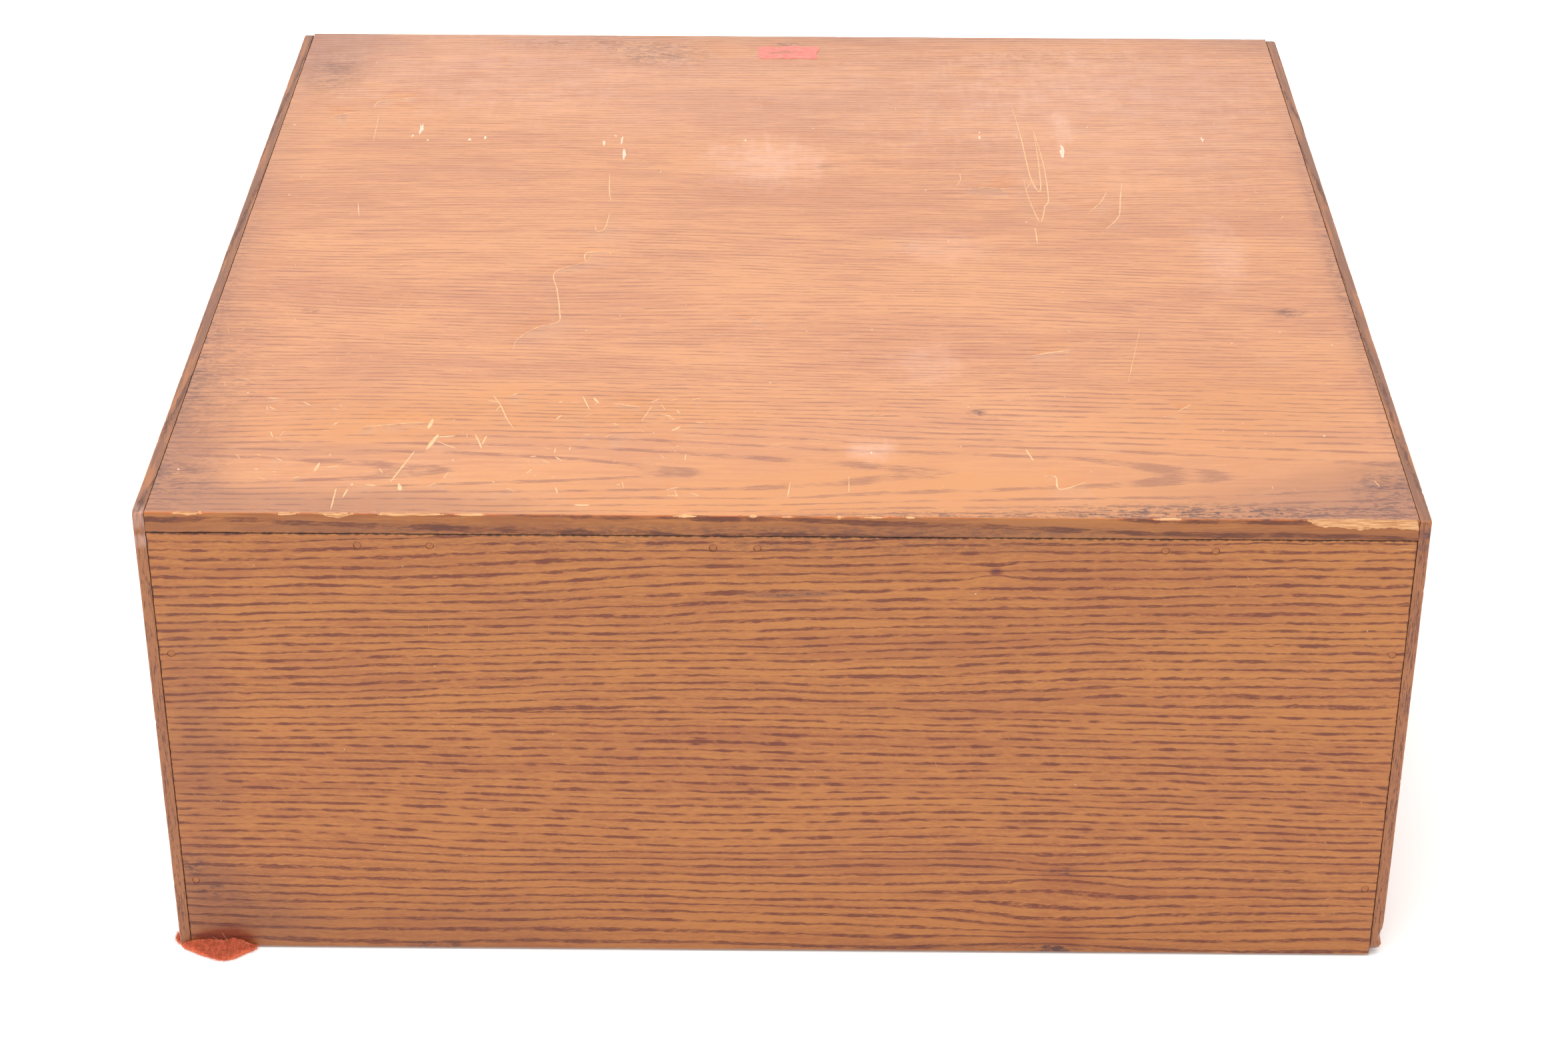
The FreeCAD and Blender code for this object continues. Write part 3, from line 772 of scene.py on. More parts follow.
# Scratches in the top, as paths of (x, y): the long marks first, then short ones.
TOP_SCRATCHES = [
    (0.55, [(-96, -137), (-98, -108), (-100, -62), (-103, -49), (-104, -72), (-104, -111)]),
    (0.5, [
        (-104, -111), (-106, -76), (-106, -42), (-104, -34), (-103, -26), (-101, -20), (-98, -42), (-97, -61),
    ]),
    (0.45, [(-99, -13), (-99, 1)]), (0.35, [(-97, -50), (-100, -58)]),
    (0.4, [(-130, -49), (-127, -39), (-121, -28)]),
    (0.55, [(-137, -58), (-135, -41), (-133, -25), (-127, -13)]),
    (0.4, [(-71, -66), (-71, -59), (-69, -54)]), (0.35, [(-73, -53), (-92, -51)]),
    (0.5, [(73, -63), (72, -44), (71, -37)]), (0.45, [(71, -25), (72, -11), (75, -8), (76, -14)]),
    (0.5, [(78, 19), (78, 12), (70, 10)]),
    (0.45, [(76, 13), (78, 20), (89, 29), (87, 46), (85, 63), (85, 72), (92, 76), (99, 86), (100, 95)]),
    (0.4, [(195, -122), (183, -127)]), (0.45, [(178, -131), (176, -138), (162, -142)]),
    (0.35, [(175, -125), (174, -94)]), (0.4, [(173, -34), (171, -21)]), (1.5, [(124, 149), (125, 156)]),
    (1.6, [(121, 160), (124, 171)]), (0.8, [(122, 162), (115, 161)]), (0.5, [(121, 165), (114, 170)]),
    (0.45, [(148, 155), (133, 152), (125, 152)]), (0.7, [(128, 172), (134, 194)]),
    (0.7, [(108, 160), (106, 166), (105, 170)]), (0.7, [(104, 161), (105, 167)]),
    (0.5, [(104, 131), (101, 138), (98, 148), (95, 155)]), (0.6, [(72, 131), (69, 141)]),
    (1.0, [(68, 132), (66, 136)]), (0.4, [(61, 136), (51, 139)]), (0.4, [(47, 138), (50, 149)]),
    (1.2, [(160, 181), (161, 187)]), (0.6, [(157, 184), (153, 183)]), (0.6, [(148, 199), (149, 205)]),
    (0.6, [(152, 199), (152, 213)]), (1.6, [(131, 195), (130, 200)]), (0.9, [(70, 209), (65, 209)]),
    (0.6, [(-85, 168), (-87, 176)]), (0.6, [(-90, 187), (-94, 187), (-95, 196), (-104, 191)]),
    (0.6, [(-91, 97), (-99, 94), (-106, 92)]), (0.3, [(-133, 74), (-125, 117)]),
    (0.4, [(-23, 188), (-23, 199)]), (0.4, [(-3, 192), (-2, 203)]), (0.9, [(39, 156), (36, 153)]),
    (0.4, [(-21, 95), (-24, 95)]), (0.4, [(-141, 139), (-146, 134)]),
]

# White smears on the top, as (x, from y, to y, width).
TOP_SMEARS = [
    (155.4, -114.0, -103.0, 2.6), (158.0, -103.0, -99.5, 1.4), (151.4, -97.8, -95.4, 1.3),
    (133.7, -99.5, -95.5, 1.9), (127.4, -101.0, -98.0, 1.3), (77.0, -97.5, -92.5, 1.8),
    (69.6, -103.0, -93.5, 1.3), (68.2, -92.0, -77.0, 1.9), (72.6, -103.5, -101.0, 1.2),
    (17.8, -100.0, -97.5, 0.9), (-80.8, -105.5, -100.5, 1.3), (-114.8, -98.0, -82.0, 2.7),
    (-174.5, -106.0, -98.5, 1.9), (-81.0, -110.0, -107.0, 0.8), (-31.0, 170.0, 172.0, 0.9),
    (147.0, 195.0, 197.0, 1.2), (208.0, 185.5, 187.0, 1.2), (-62.4, 165.5, 167.0, 0.6),
    (-190.6, 156.0, 157.5, 1.0),
]

# Splinters out of the top's rear edge: from x to x, with how far each reaches over the top and down the edge.
TOP_SPLINTERS = [
    (193.2, 206.2, 0.8, 1.5), (160.5, 174.0, 1.0, 1.8), (142.8, 158.4, 1.0, 2.2), (112.0, 139.0, 0.6, 0.9),
    (98.6, 111.0, 0.5, 0.6), (27.8, 37.0, 1.0, 0.8), (7.5, 11.3, 1.4, 0.7), (-5.5, 1.4, 1.2, 0.8),
    (-22.5, -16.7, 1.6, 1.9), (-37.0, -25.5, 0.7, 0.9), (-45.5, -41.3, 1.3, 0.5), (-137.0, -124.0, 1.1, 0.6),
]

# For each side of a face, round from its low-b side: the distance between samples, then the arris's width.
FINE_SPACING = (1.6, 1.6, 0.5, 1.6)
SIDE_SPACING = (2.0, 0.8, 1.2, 2.0)
TOP_ARRIS = (0.5, 0.35, 0.55, 0.35)
BACK_ARRIS = (0.3, 0.35, 0.5, 0.35)
SIDE_ARRIS = (0.7, 0.8, 0.8, 0.8)
SQUARE_CORNERS = (0.3,) * 4
DENT_LENGTH = 7.0
BACK_DENTS = (198, 90, 31, -96, -130, -177)
PEG_ROW_Z = 171.5
PEG_SIDE_X = 210.65
PEG_HOLE = 1.42
PEG_DOME = ((0.5, 0.0), (1.1, 0.03), (1.33, 0.12), (1.37, 0.4))  # (radius, depth) down a peg's end
PEGS = [(x, PEG_ROW_Z) for x in (143.5, 119.0, 23.0, 8.0, -130.0, -147.0)]
PEGS += [(-PEG_SIDE_X, 130.5), (-PEG_SIDE_X, 30.5), (PEG_SIDE_X, 127.5), (PEG_SIDE_X, 30.5)]


def inset_rect(rect, gap_a, gap_b):
    """A face's outline drawn in from its neighbours, which leaves the dark gap of an old joint."""
    return (rect[0] + gap_a, rect[1] + gap_b, rect[2] - gap_a, rect[3] - gap_b)


def small_marks(rect, count, width, seed, slot=SPLIT):
    """Short scratches and nicks in random places."""
    maker = random.Random(seed)
    low_a, low_b, high_a, high_b = rect
    marks = Inlay(slot)
    for _ in range(count):
        a, b = maker.uniform(low_a + 8, high_a - 8), maker.uniform(low_b + 8, high_b - 8)
        turn = maker.uniform(0, math.pi)
        reach = maker.uniform(0.8, 4.5)
        end = (a + reach * math.cos(turn), b + reach * math.sin(turn))
        marks.stroke(curve([(a, b), end], 0.8), width * maker.uniform(0.6, 1.6), 0.1)
    return marks


def small_specks(rect, count, radius, seed):
    """Pale specks of dust and paint in random places."""
    maker = random.Random(seed)
    low_a, low_b, high_a, high_b = rect
    specks = Inlay(SPECK)
    for i in range(count):
        a, b = maker.uniform(low_a + 4, high_a - 4), maker.uniform(low_b + 4, high_b - 4)
        specks.spot(a, b, radius * maker.uniform(0.5, 1.5), -0.03, i * 1.9, maker.uniform(0.7, 1.6))
    return specks


def top_marks(full):
    """Everything let into the top: the scratches and smears in their places, then small random marks."""
    scratches = Inlay(SCRATCHED)
    for width, path in TOP_SCRATCHES:
        scratches.stroke(curve(path), width * 1.2, 0.12)
    smears = Inlay(SPECK)
    for i, (x, near, far, width) in enumerate(TOP_SMEARS):
        smears.spot(x, (near + far) / 2, (far - near) * 0.44, -0.06, i * 3.7, width / (far - near))
    nicks = small_marks((20, 120, 200, 212), 70, 0.45, 4, SCRATCHED)
    fine_nicks = small_marks(full, 110, 0.25, 9, SCRATCHED)
    hairlines = small_marks((120, 10, 216, 214), 90, 0.17, 17, SCRATCHED)
    return scratches, smears, nicks, fine_nicks, small_specks(full, 90, 0.26, 14), hairlines


def top_look(full):
    strips = (
        Strip(-FAR, 0.0, (-330.0, 90.0, 0.05), 2.3, 0.06, 0.5, 0.55),
        Strip(-7.0, 0.004, (-260.0, -10.0, -0.06), 2.2, 0.04, 0.55, 0.75),
        Strip(120.6, 0.018, (185.0, 158.3, 0.033), 2.9, -0.1, 0.5),
    )
    shade = (
        (218, 170, 40, 80, 0.8), (200, 212, 150, 22, 0.9), (-214, 205, 110, 40, 0.9),
        (214, -205, 70, 60, 0.9), (-214, -214, 60, 30, 0.5), (216, 0, 22, 260, 0.35),
        (-216, 0, 14, 260, 0.35), (0, -216, 240, 16, 0.5), (160, 172, 60, 7, 0.5),
    )
    grime = (
        (212, 196, 30, 34, 0.5), (-150, 211, 100, 9, 1.0), (-60, 214, 80, 4, 0.7), (-208, 196, 20, 26, 0.8),
        (200, -170, 22, 40, 0.6), (57, -191, 34, 20, 0.7), (90, -205, 70, 10, 0.5), (-69, 141, 5, 5, 1.0),
        (-75, 146, 3, 3, 0.6), (214, 60, 7, 190, 0.4), (-213, 20, 5, 200, 0.5), (0, -206, 9, 3, 1.0),
        (0, -196, 19, 13, 0.35), (-190, 60, 10, 6, 0.8), (-16, -71, 5, 4, 0.6), (206, 120, 26, 90, 0.4),
        (-110, -190, 90, 22, 0.25), (179, 64, 5, 4, 0.6),
    )
    # Pale patches. The four broad ones towards the -Y edge are painted glare of the varnish; the small ones
    # are dust and smudges.
    haze = (
        (8, -76, 38, 34, 0.7), (150, -185, 130, 70, 0.3), (20, -150, 200, 80, 0.25),
        (-150, -170, 110, 60, 0.2), (-31, 170, 12, 12, 0.9), (-170, 10, 14, 44, 0.45),
        (-62, 6, 26, 20, 0.35), (-52, 105, 20, 24, 0.4), (-116, -110, 6, 24, 0.5),
        (-140, -120, 120, 110, 0.3),
    )
    gold = (
        (100, 145, 170, 34, 0.9), (-30, 200, 190, 50, 1.0), (-160, 140, 80, 70, 0.9), (150, 160, 70, 12, 0.5),
    )
    return Oak(
        (0, 1, 2), rgb(185, 127, 84), rgb(157, 99, 70), rgb(104, 60, 54), strips, shift=1.7, wave=9.0,
        jag=0.8, row=0.32, dash=5.0, fineness=0.5, lean=0.0, gap=16.0, fill=0.65, pores=0.46, halo=0.2,
        ripple=0.3, mottle=0.5, streaks=0.85, grit=0.45, roughness=0.4, coat=0.38, edge=rgb(124, 66, 28),
        edge_shade=0.95, bare=rgb(150, 82, 34), edge_wear=0.7, edges=(full[0], -FAR, full[2], FAR),
        shade=shade, grime=grime, haze=haze, gold=gold,
    )


def top_edge_look(joint_z, shift):
    """The top's rear or front edge, whose joint below it is at the given height."""
    return Oak(
        (0, 2, 1), rgb(164, 104, 52), rgb(128, 70, 36), rgb(76, 36, 26),
        [Strip(-FAR, 0.0, (70.0, 60.0, 0.02), 2.9, 0.1, 0.5)], shift=shift,
        pores=0.7, row=0.4, dash=4.0, fineness=0.4, lean=0.03, fill=0.7, halo=0.6, streaks=0.6, mottle=0.6,
        gloss=0.34, edges=(-FAR, joint_z, FAR, FAR), bare=rgb(168, 86, 34), edge_wear=0.9,
        grime=((0, 178, 260, 4, 0.5),), shade=((-60, 178, 90, 9, 0.4), (150, 178, 60, 9, 0.4)),
    )


def top_board():
    full = (TOP.low.x, TOP.low.y, TOP.high.x, TOP.high.y)
    lap = (TOP.low.x, TOP.low.y, TOP.high.x, BACK.low.y)
    lip = TOP_Z - BACK.high.z
    thick = TOP_Z - TOP.low.z
    steps = [
        (full, 0.0, lip - 0.5), (full, 0.15, lip - 0.15), (full, 0.5, lip), (lap, 0.0, lip + 0.05),
        (lap, 0.0, thick - 0.3), (lap, 0.3, thick),
    ]
    chips = [Chip(2, *splinter) for splinter in TOP_SPLINTERS]
    chips.append(Chip(2, -230.0, -174.0, 1.0, 3.0, True, 0.045))
    thing = board("top_board", Face(0, 1, TOP_Z, -1), inset_rect(full, 0.2, 0.0), steps, TOP_ARRIS,
                  FINE_SPACING, SQUARE_CORNERS, chips, top_marks(full), nick=1.0, seed=3)
    rear_edge = oak("oak_top_rear_edge", top_edge_look(BACK.high.z, 5.0))
    front_edge = oak("oak_top_front_edge", top_edge_look(TOP.low.z, 6.0))
    dress(thing, oak("oak_top", top_look(full)), BARE, PLASTER, SCRATCH, rear_edge, front_edge)
    for polygon in thing.data.polygons:
        if polygon.material_index == 0 and abs(polygon.normal.y) > 0.3:
            polygon.material_index = REAR_EDGE if polygon.normal.y > 0 else FRONT_EDGE
    settle(thing, "top_panel")


def back_look(full):
    strips = (
        Strip(-FAR, 0.0, (-170.0, 120.0, 0.01), 3.7, 0.06, 0.3),
        Strip(106.7, 0.0208, (-60.0, 60.0, -0.03), 2.7, 0.0, 0.4),
    )
    grime = (
        (211, 37, 7, 7, 0.8), (205, 27, 7, 6, 0.6), (196, 20, 40, 26, 0.3), (125, 2, 16, 3, 1.0),
        (0, 173, 220, 5, 0.4), (-80, 2, 150, 4, 0.35), (-73, 162.8, 2.6, 1.8, 1.0),
        (2, 152.8, 15, 0.9, 1.0), (-11, 153.6, 9, 0.8, 0.9), (-102, 37, 9, 3, 0.8), (-99, 2, 14, 4, 0.9),
    )
    # Red patches. The last two, beside the loose felt, are a painted shadow and reflection of the felt in the
    # varnish; the others are red stains round knots.
    red = (
        (-73, 162.8, 3.4, 2.4, 1.0), (-101, 34, 16, 9, 0.4), (-99, 7, 26, 8, 0.5), (202, 5, 16, 7, 1.0),
        (202, 3.5, 13, 6, 1.0),
    )
    shade = (
        (-73, 162.8, 3.2, 2.2, 1.0), (-73, 162.8, 2.4, 1.6, 1.0), (2, 152.8, 19, 1.8, 1.0),
        (-11, 153.6, 12, 1.4, 1.0), (205, 90, 20, 100, 0.5), (120, 3, 100, 30, 0.35),
        (214, 20, 60, 40, 0.6),
    )
    return Oak(
        (0, 2, 1), rgb(171, 109, 55), rgb(140, 77, 43), rgb(86, 32, 24), strips, shift=4.0, wave=7.0,
        jag=1.5, row=0.32, dash=2.8, fineness=0.32, lean=0.06, gap=9.0, fill=0.75, between=0.34, pores=0.72,
        halo=0.68, mottle=0.2, streaks=0.6, flecks=0.4, grit=0.8, gloss=0.36, crowds=((40, 106, 4.5),),
        edges=(full[0], -FAR, full[2], full[3]), edge_dirt=0.85, edge_wear=0.2, grime=grime, red=red,
        shade=shade, knots=((-73, 163, 8, 4, 2.4), (-101, 36, 22, 8, 5.0), (-99, 8, 40, 12, 6.0)),
    )


def back_board():
    full = (BACK.low.x, BACK.low.z, BACK.high.x, BACK.high.z)
    thick = BACK.high.y - BACK.low.y
    steps = [(full, 0.0, thick - 0.3), (full, 0.3, thick)]
    marks = small_marks(full, 14, 0.22, 21)
    marks.stroke(curve([(-214, 172.8), (-208, 172.9), (-201, 173.1)]), 0.3, 0.1)
    dents = [Chip(2, a, a + DENT_LENGTH, 1.0, 0.9, False) for a in BACK_DENTS]
    holes = [(x, z, PEG_HOLE) for x, z in PEGS]
    dust = small_specks(full, 40, 0.16, 23)
    thing = board("back_board", Face(0, 2, REAR_Y, -1), inset_rect(full, 0.2, 0.1), steps, BACK_ARRIS,
                  FINE_SPACING, SQUARE_CORNERS, dents, (marks, dust), holes, nick=0.7, seed=8)
    dress(thing, oak("oak_back", back_look(full)), BARE, PLASTER)
    settle(thing, "back_panel")


def side_look(name, sign):
    """A side's oak. The right one's rear corner has pale splinters, the left one's is dark with handling."""
    rear = {"haze": ((217, 181, 9, 6, 1.0), (217, 172.8, 9, 4, 1.0))}
    grime = ((-150, 20, 90, 16, 0.4), (60, 178, 200, 8, 0.35), (120, 60, 60, 30, 0.25))
    if sign < 0:
        rear = {"shade": ((217, 178.6, 8, 3.4, 1.0), (217, 173.4, 8, 2.4, 0.9))}
        grime += ((216, 178.6, 6, 2.4, 1.0), (216, 173.6, 6, 1.6, 0.6))
    strips = (
        Strip(-FAR, 0.0, (-110.0 + 20.0 * sign, 150.0 * sign, 0.02 * sign), 3.6, 0.0, 0.45),
        Strip(88.0 + 9.0 * sign, 0.004, (140.0, 180.0 * sign, 0.04 * sign), 4.0, -0.1, 0.35),
    )
    return Oak(
        (1, 2, 0), rgb(166, 104, 58), rgb(138, 78, 44), rgb(84, 42, 32), strips, shift=9.0 + sign,
        pores=0.66, row=0.3, dash=3.4, lean=0.05, edge=rgb(104, 70, 56), edge_shade=0.85, end_shade=0.3,
        edge_wear=0.3, grime=grime, **rear,
    )


def side_board(name, node, sign, box, chips, corners):
    """A side: its thin lip stands outside the top, the back and the bottom."""
    inner = TOP.high.x if sign > 0 else -TOP.low.x
    full = (box.low.y, box.low.z, box.high.y, box.high.z)
    rabbet = (box.low.y, BOTTOM.high.z, BACK.low.y, TOP.low.z)
    lip = box.high.x - inner if sign > 0 else -box.low.x - inner
    thick = box.high.x - box.low.x
    steps = [
        (full, 0.0, lip - 0.12), (full, 0.12, lip), (rabbet, 0.0, lip + 0.05), (rabbet, 0.0, thick - 0.3),
        (rabbet, 0.3, thick),
    ]
    face = Face(1, 2, sign * (WIDTH / 2), -sign)
    marks = small_marks(full, 60, 0.35, 31 + sign)
    thing = board(name, face, full, steps, SIDE_ARRIS, SIDE_SPACING, corners, chips, (marks,), nick=1.1,
                  seed=12 + sign)
    dress(thing, oak("oak_" + name, side_look(name, sign)), BARE)
    settle(thing, node)


def side_boards():
    """Both sides, dented along their edges. Corners are their radii, round from the low front one."""
    right = ((1, 60, 64, 0.9, 0.8), (1, 110, 118, 1.1, 0.9), (1, 140, 146, 0.9, 0.9))
    left = ((0, 196, 216, 8.0, 3.2), (1, -6, 14, 6.0, 3.4))
    right_dents, left_dents = [[Chip(*dent, bare=False) for dent in dents] for dents in (right, left)]
    side_board("right_board", "right_side", 1, RIGHT, right_dents, (3.0, 1.2, 2.0, 3.0))
    side_board("left_board", "left_side", -1, LEFT, left_dents, (3.0, 6.0, 1.6, 3.0))


def peg_ends():
    """The pegs, a little proud or sunk, each with a softly domed end."""
    bm = bmesh.new()
    maker = random.Random(5)
    length = PEG_BOX.high.y - PEG_BOX.low.y
    for x, z in PEGS:
        sunk = maker.uniform(0.0, 0.12)
        dome = [(radius, sunk + depth) for radius, depth in PEG_DOME]
        rows = []
        for radius, depth in (*dome, (PEG_DOME[-1][0], length)):
            verts = []
            for turn in round_turns(16):
                reach = radius * (1 + 0.05 * noise_at(x + math.cos(turn), z, math.sin(turn)))
                place = (x + reach * math.cos(turn), PEG_BOX.high.y - depth, z + reach * math.sin(turn))
                verts.append(bm.verts.new(Vector(place) * METRE))
            rows.append(verts)
        for near, far in zip(rows, rows[1:]):
            bridge(bm, near, far)
        bm.faces.new(rows[0])
        bm.faces.new(rows[-1][::-1])
    thing = as_object(bm, "peg_ends")
    s = Surface("peg_wood")
    x, y, z = s.place()
    grain = s.noise(x / 0.35, z / 0.35, y / 8.0, 2.0)
    s.relief(grain, 0.06)
    colour = s.mix(s.ease(grain, 0.3, 0.7), rgb(170, 106, 54), rgb(126, 70, 42))
    dress(thing, s.finish(Base_Color=colour, Roughness=0.6))
    settle(thing, "back_pegs")


# ---- Felt --------------------------------------------------------------------------------------------------

PAD_SIDE = 26.0

# Height of the loose pad's ruck just behind the carcass, as (x, height).
RUCK = [
    (185, 0.8), (190, 1.0), (192.7, 1.7), (194.6, 2.5), (196.4, 3.8), (198.7, 4.3), (201, 3.6), (205, 3.4),
    (209, 3.7), (214, 3.3), (216.5, 2.3), (219, 1.5), (223, 1.0),
]

# Outline of the loose pad, rounded and blunt where it shows.
LOOSE_OUTLINE = [
    (206.3, 188.6), (215.5, 201.0), (220.8, 209.6), (220.4, 212.8), (217.2, 216.8), (213.4, 218.9),
    (209.6, 221.0), (204.8, 223.0), (202.5, 223.5), (199.2, 223.0), (195.8, 220.3), (191.8, 217.0),
    (187.0, 205.2),
]

# Pale hairs that stand off the loose pad, as paths of (x, y, z).
STRAY_HAIRS = [
    [(200.8, 217.6, 3.4), (201.6, 217.3, 5.0), (202.4, 217.1, 6.6), (203.0, 217.0, 7.9)],
    [(203.9, 218.0, 3.6), (204.4, 217.6, 4.8), (205.4, 217.2, 5.3), (206.6, 217.0, 5.8)],
    [(211.3, 218.0, 2.8), (210.6, 217.4, 4.0), (210.2, 217.2, 4.8)],
    [(195.0, 218.0, 3.0), (194.4, 217.6, 3.6), (193.6, 217.4, 3.4)],
]


def felt(name):
    """Dyed wool felt: matted hair, with painted shade in its hollows and painted highlights where the hair
    stands up.
    """
    s = Surface(name)
    x, y, z = s.place()
    matted = s.noise(x / 1.6, y / 1.6, z / 1.6, 4.0, 0.65)
    hair = s.noise(x / 0.35, y / 0.35, z / 0.35, 2.0)
    # Painted shade: the darker tone stands for the hollows between the matted clumps.
    colour = s.mix(s.ease(matted, 0.3, 0.7), rgb(190, 80, 50), rgb(232, 118, 82))
    # Painted highlight: the paler colour of the standing hair.
    colour = s.mix(s.ease(hair, 0.5, 0.75), colour, rgb(246, 158, 122))
    s.relief(matted + hair * 0.4, 0.25)
    sheen = {"Sheen_Weight": 0.35, "Sheen_Roughness": 0.5, "Sheen_Tint": rgb(255, 190, 160)}
    return s.finish(Base_Color=colour, Roughness=0.95, Specular_IOR_Level=0.15, **sheen)


def inside_loop(point, loop):
    """Whether a point is inside a closed outline."""
    inside = False
    for here, there in zip(loop, loop[1:] + loop[:1]):
        if (here.y > point.y) != (there.y > point.y):
            crossing = here.x + (point.y - here.y) / (there.y - here.y) * (there.x - here.x)
            inside = inside != (point.x < crossing)
    return inside


def around(loop):
    """The rectangle round an outline."""
    xs, ys = [p.x for p in loop], [p.y for p in loop]
    return min(xs), min(ys), max(xs), max(ys)


def ragged(corners, step, amount, seed):
    """An outline through the corners, sampled finely, with a torn unevenness."""
    loop = []
    for here, there in zip(corners, corners[1:] + corners[:1]):
        here, there = Vector(here), Vector(there)
        count = max(1, round((there - here).length / step))
        for i in range(count):
            place = here + (there - here) * (i / count)
            loop.append(place + Vector((noise_at(*place, seed), noise_at(*place, seed + 9.0))) * amount)
    return loop


def flat_piece(name, loop, height, base, step, seed, angle=60.0):
    """A thin closed piece with the given outline: its upper side at `height`, its lower side flat."""
    coords = loop + [p for p in scatter(around(loop), step, 0.0, seed) if inside_loop(p, loop)]
    places, _, triangles, sources, _, _ = delaunay_2d_cdt(coords, [], [list(range(len(loop)))], 1, 1e-4)
    bm = bmesh.new()
    upper = [bm.verts.new(Vector((p.x, p.y, height(p))) * METRE) for p in places]
    lower = [bm.verts.new(Vector((p.x, p.y, base)) * METRE) for p in places]
    for corners in triangles:
        bm.faces.new([upper[i] for i in corners])
        bm.faces.new([lower[i] for i in reversed(corners)])
    order = {source: i for i, found in enumerate(sources) for source in found}
    middle = []
    for i, here in enumerate(loop):
        ahead = (loop[(i + 1) % len(loop)] - loop[i - 1]).normalized()
        place = here + Vector((ahead.y, -ahead.x)) * (height(here) - base) * 0.25
        middle.append(bm.verts.new(Vector((place.x, place.y, (height(here) + base) / 2)) * METRE))
    count = len(loop)
    for i in range(count):
        k = (i + 1) % count
        for side in (upper, lower):
            bm.faces.new((side[order[i]], side[order[k]], middle[k], middle[i]))
    return as_object(bm, name, angle)


def strand(bm, path, radius):
    """One hair: a thin three-sided tube that tapers at its ends."""
    rings = []
    for i, point in enumerate(path):
        ahead = (path[min(i + 1, len(path) - 1)] - path[max(i - 1, 0)]).normalized()
        side = ahead.cross(Vector((0.3, 0.2, 1.0))).normalized()
        other = ahead.cross(side)
        thin = radius * (0.4 if i in (0, len(path) - 1) else 1.0)
        places = [point + (side * math.cos(turn) + other * math.sin(turn)) * thin for turn in round_turns(3)]
        rings.append([bm.verts.new(place * METRE) for place in places])
    for near, far in zip(rings, rings[1:]):
        bridge(bm, near, far)
    bm.faces.new(rings[0][::-1])
    bm.faces.new(rings[-1])


def felt_hairs(name, loop, height, count, seed, keep_out):
    """Loose hairs matted over a pad, some of them past its outline."""
    bm = bmesh.new()
    maker = random.Random(seed)
    low_x, low_y, high_x, high_y = around(loop)
    made = 0
    while made < count:
        place = Vector((maker.uniform(low_x, high_x), maker.uniform(low_y, high_y)))
        if keep_out(place) or not inside_loop(place, loop):
            continue
        made += 1
        heading = maker.uniform(0, 2 * math.pi)
        lift = maker.uniform(-0.05, 0.2)
        level = height(place)
        path = []
        for _ in range(maker.randint(5, 8)):
            if keep_out(place):
                break
            level += (height(place) - level) * 0.6 if inside_loop(place, loop) else -0.12
            path.append(Vector((place.x, place.y, max(level + lift, 0.08))))
            heading += maker.gauss(0, 0.7)
            place = place + Vector((math.cos(heading), math.sin(heading))) * maker.uniform(0.25, 0.5)
            lift = min(0.55, max(-0.05, lift + maker.gauss(0.02, 0.14)))
        if len(path) > 2:
            strand(bm, path, maker.uniform(0.03, 0.055))
    return as_object(bm, name, 180.0)


def stray_hairs(name):
    """A few pale hairs that stand off the pad."""
    bm = bmesh.new()
    for points in STRAY_HAIRS:
        flat = curve([(x, z) for x, _, z in points], 0.5, 0.05)
        near, far = points[0][1], points[-1][1]
        depth = [near + (far - near) * i / (len(flat) - 1) for i in range(len(flat))]
        strand(bm, [Vector((x, y, z)) for (x, z), y in zip(flat, depth)], 0.05)
    return as_object(bm, name, 180.0)


def pale_hair(name):
    s = Surface(name)
    x, y, z = s.place()
    colour = s.mix(s.noise(x / 1.5, y / 1.5, z / 1.5), rgb(236, 196, 160), rgb(196, 120, 84))
    return s.finish(Base_Color=colour, Roughness=0.5)


def under_carcass(place, gap=0.15):
    """Whether a point of the table is under the carcass, or within a hair of its sides."""
    return place.x < WIDTH / 2 + gap and place.y < REAR_Y + gap


def pressed_height(place):
    return SEATED_PADS.high.z - 0.03


def ruck_height(x):
    """The height of the ruck at x, along straight lines."""
    for (low, before), (high, after) in zip(RUCK, RUCK[1:]):
        if x <= high:
            return before + (after - before) * max(0.0, (x - low) / (high - low))
    return RUCK[-1][1]


def loose_height(place):
    """The loose pad is flat under the carcass and rucked up in folds behind it."""
    if under_carcass(place):
        return LOOSE_PAD.high.z - 0.06
    out = max(place.x - WIDTH / 2, place.y - REAR_Y)
    fall = min(1.0, max(0.34, 1.12 - out * 0.095))
    clump = 0.6 * noise_at(place.x * 0.6, place.y * 0.6, 3.0)
    clump += 0.35 * noise_at(place.x * 1.5, place.y * 1.5, 5.0)
    crease = -0.9 * math.exp(-(((place.x - 206.0 - (place.y - 217.0) * 0.35) / 1.1) ** 2))
    crease -= 0.6 * math.exp(-(((place.x - 200.2 + (place.y - 217.0) * 0.2) / 0.8) ** 2))
    creased = crease * min(1.0, out / 2.0) * max(0.0, fall - 0.3)
    return max(0.45, ruck_height(place.x) * fall + clump + creased)


def settle_felt(pad, material, node):
    dress(pad, material)
    settle(pad, node)


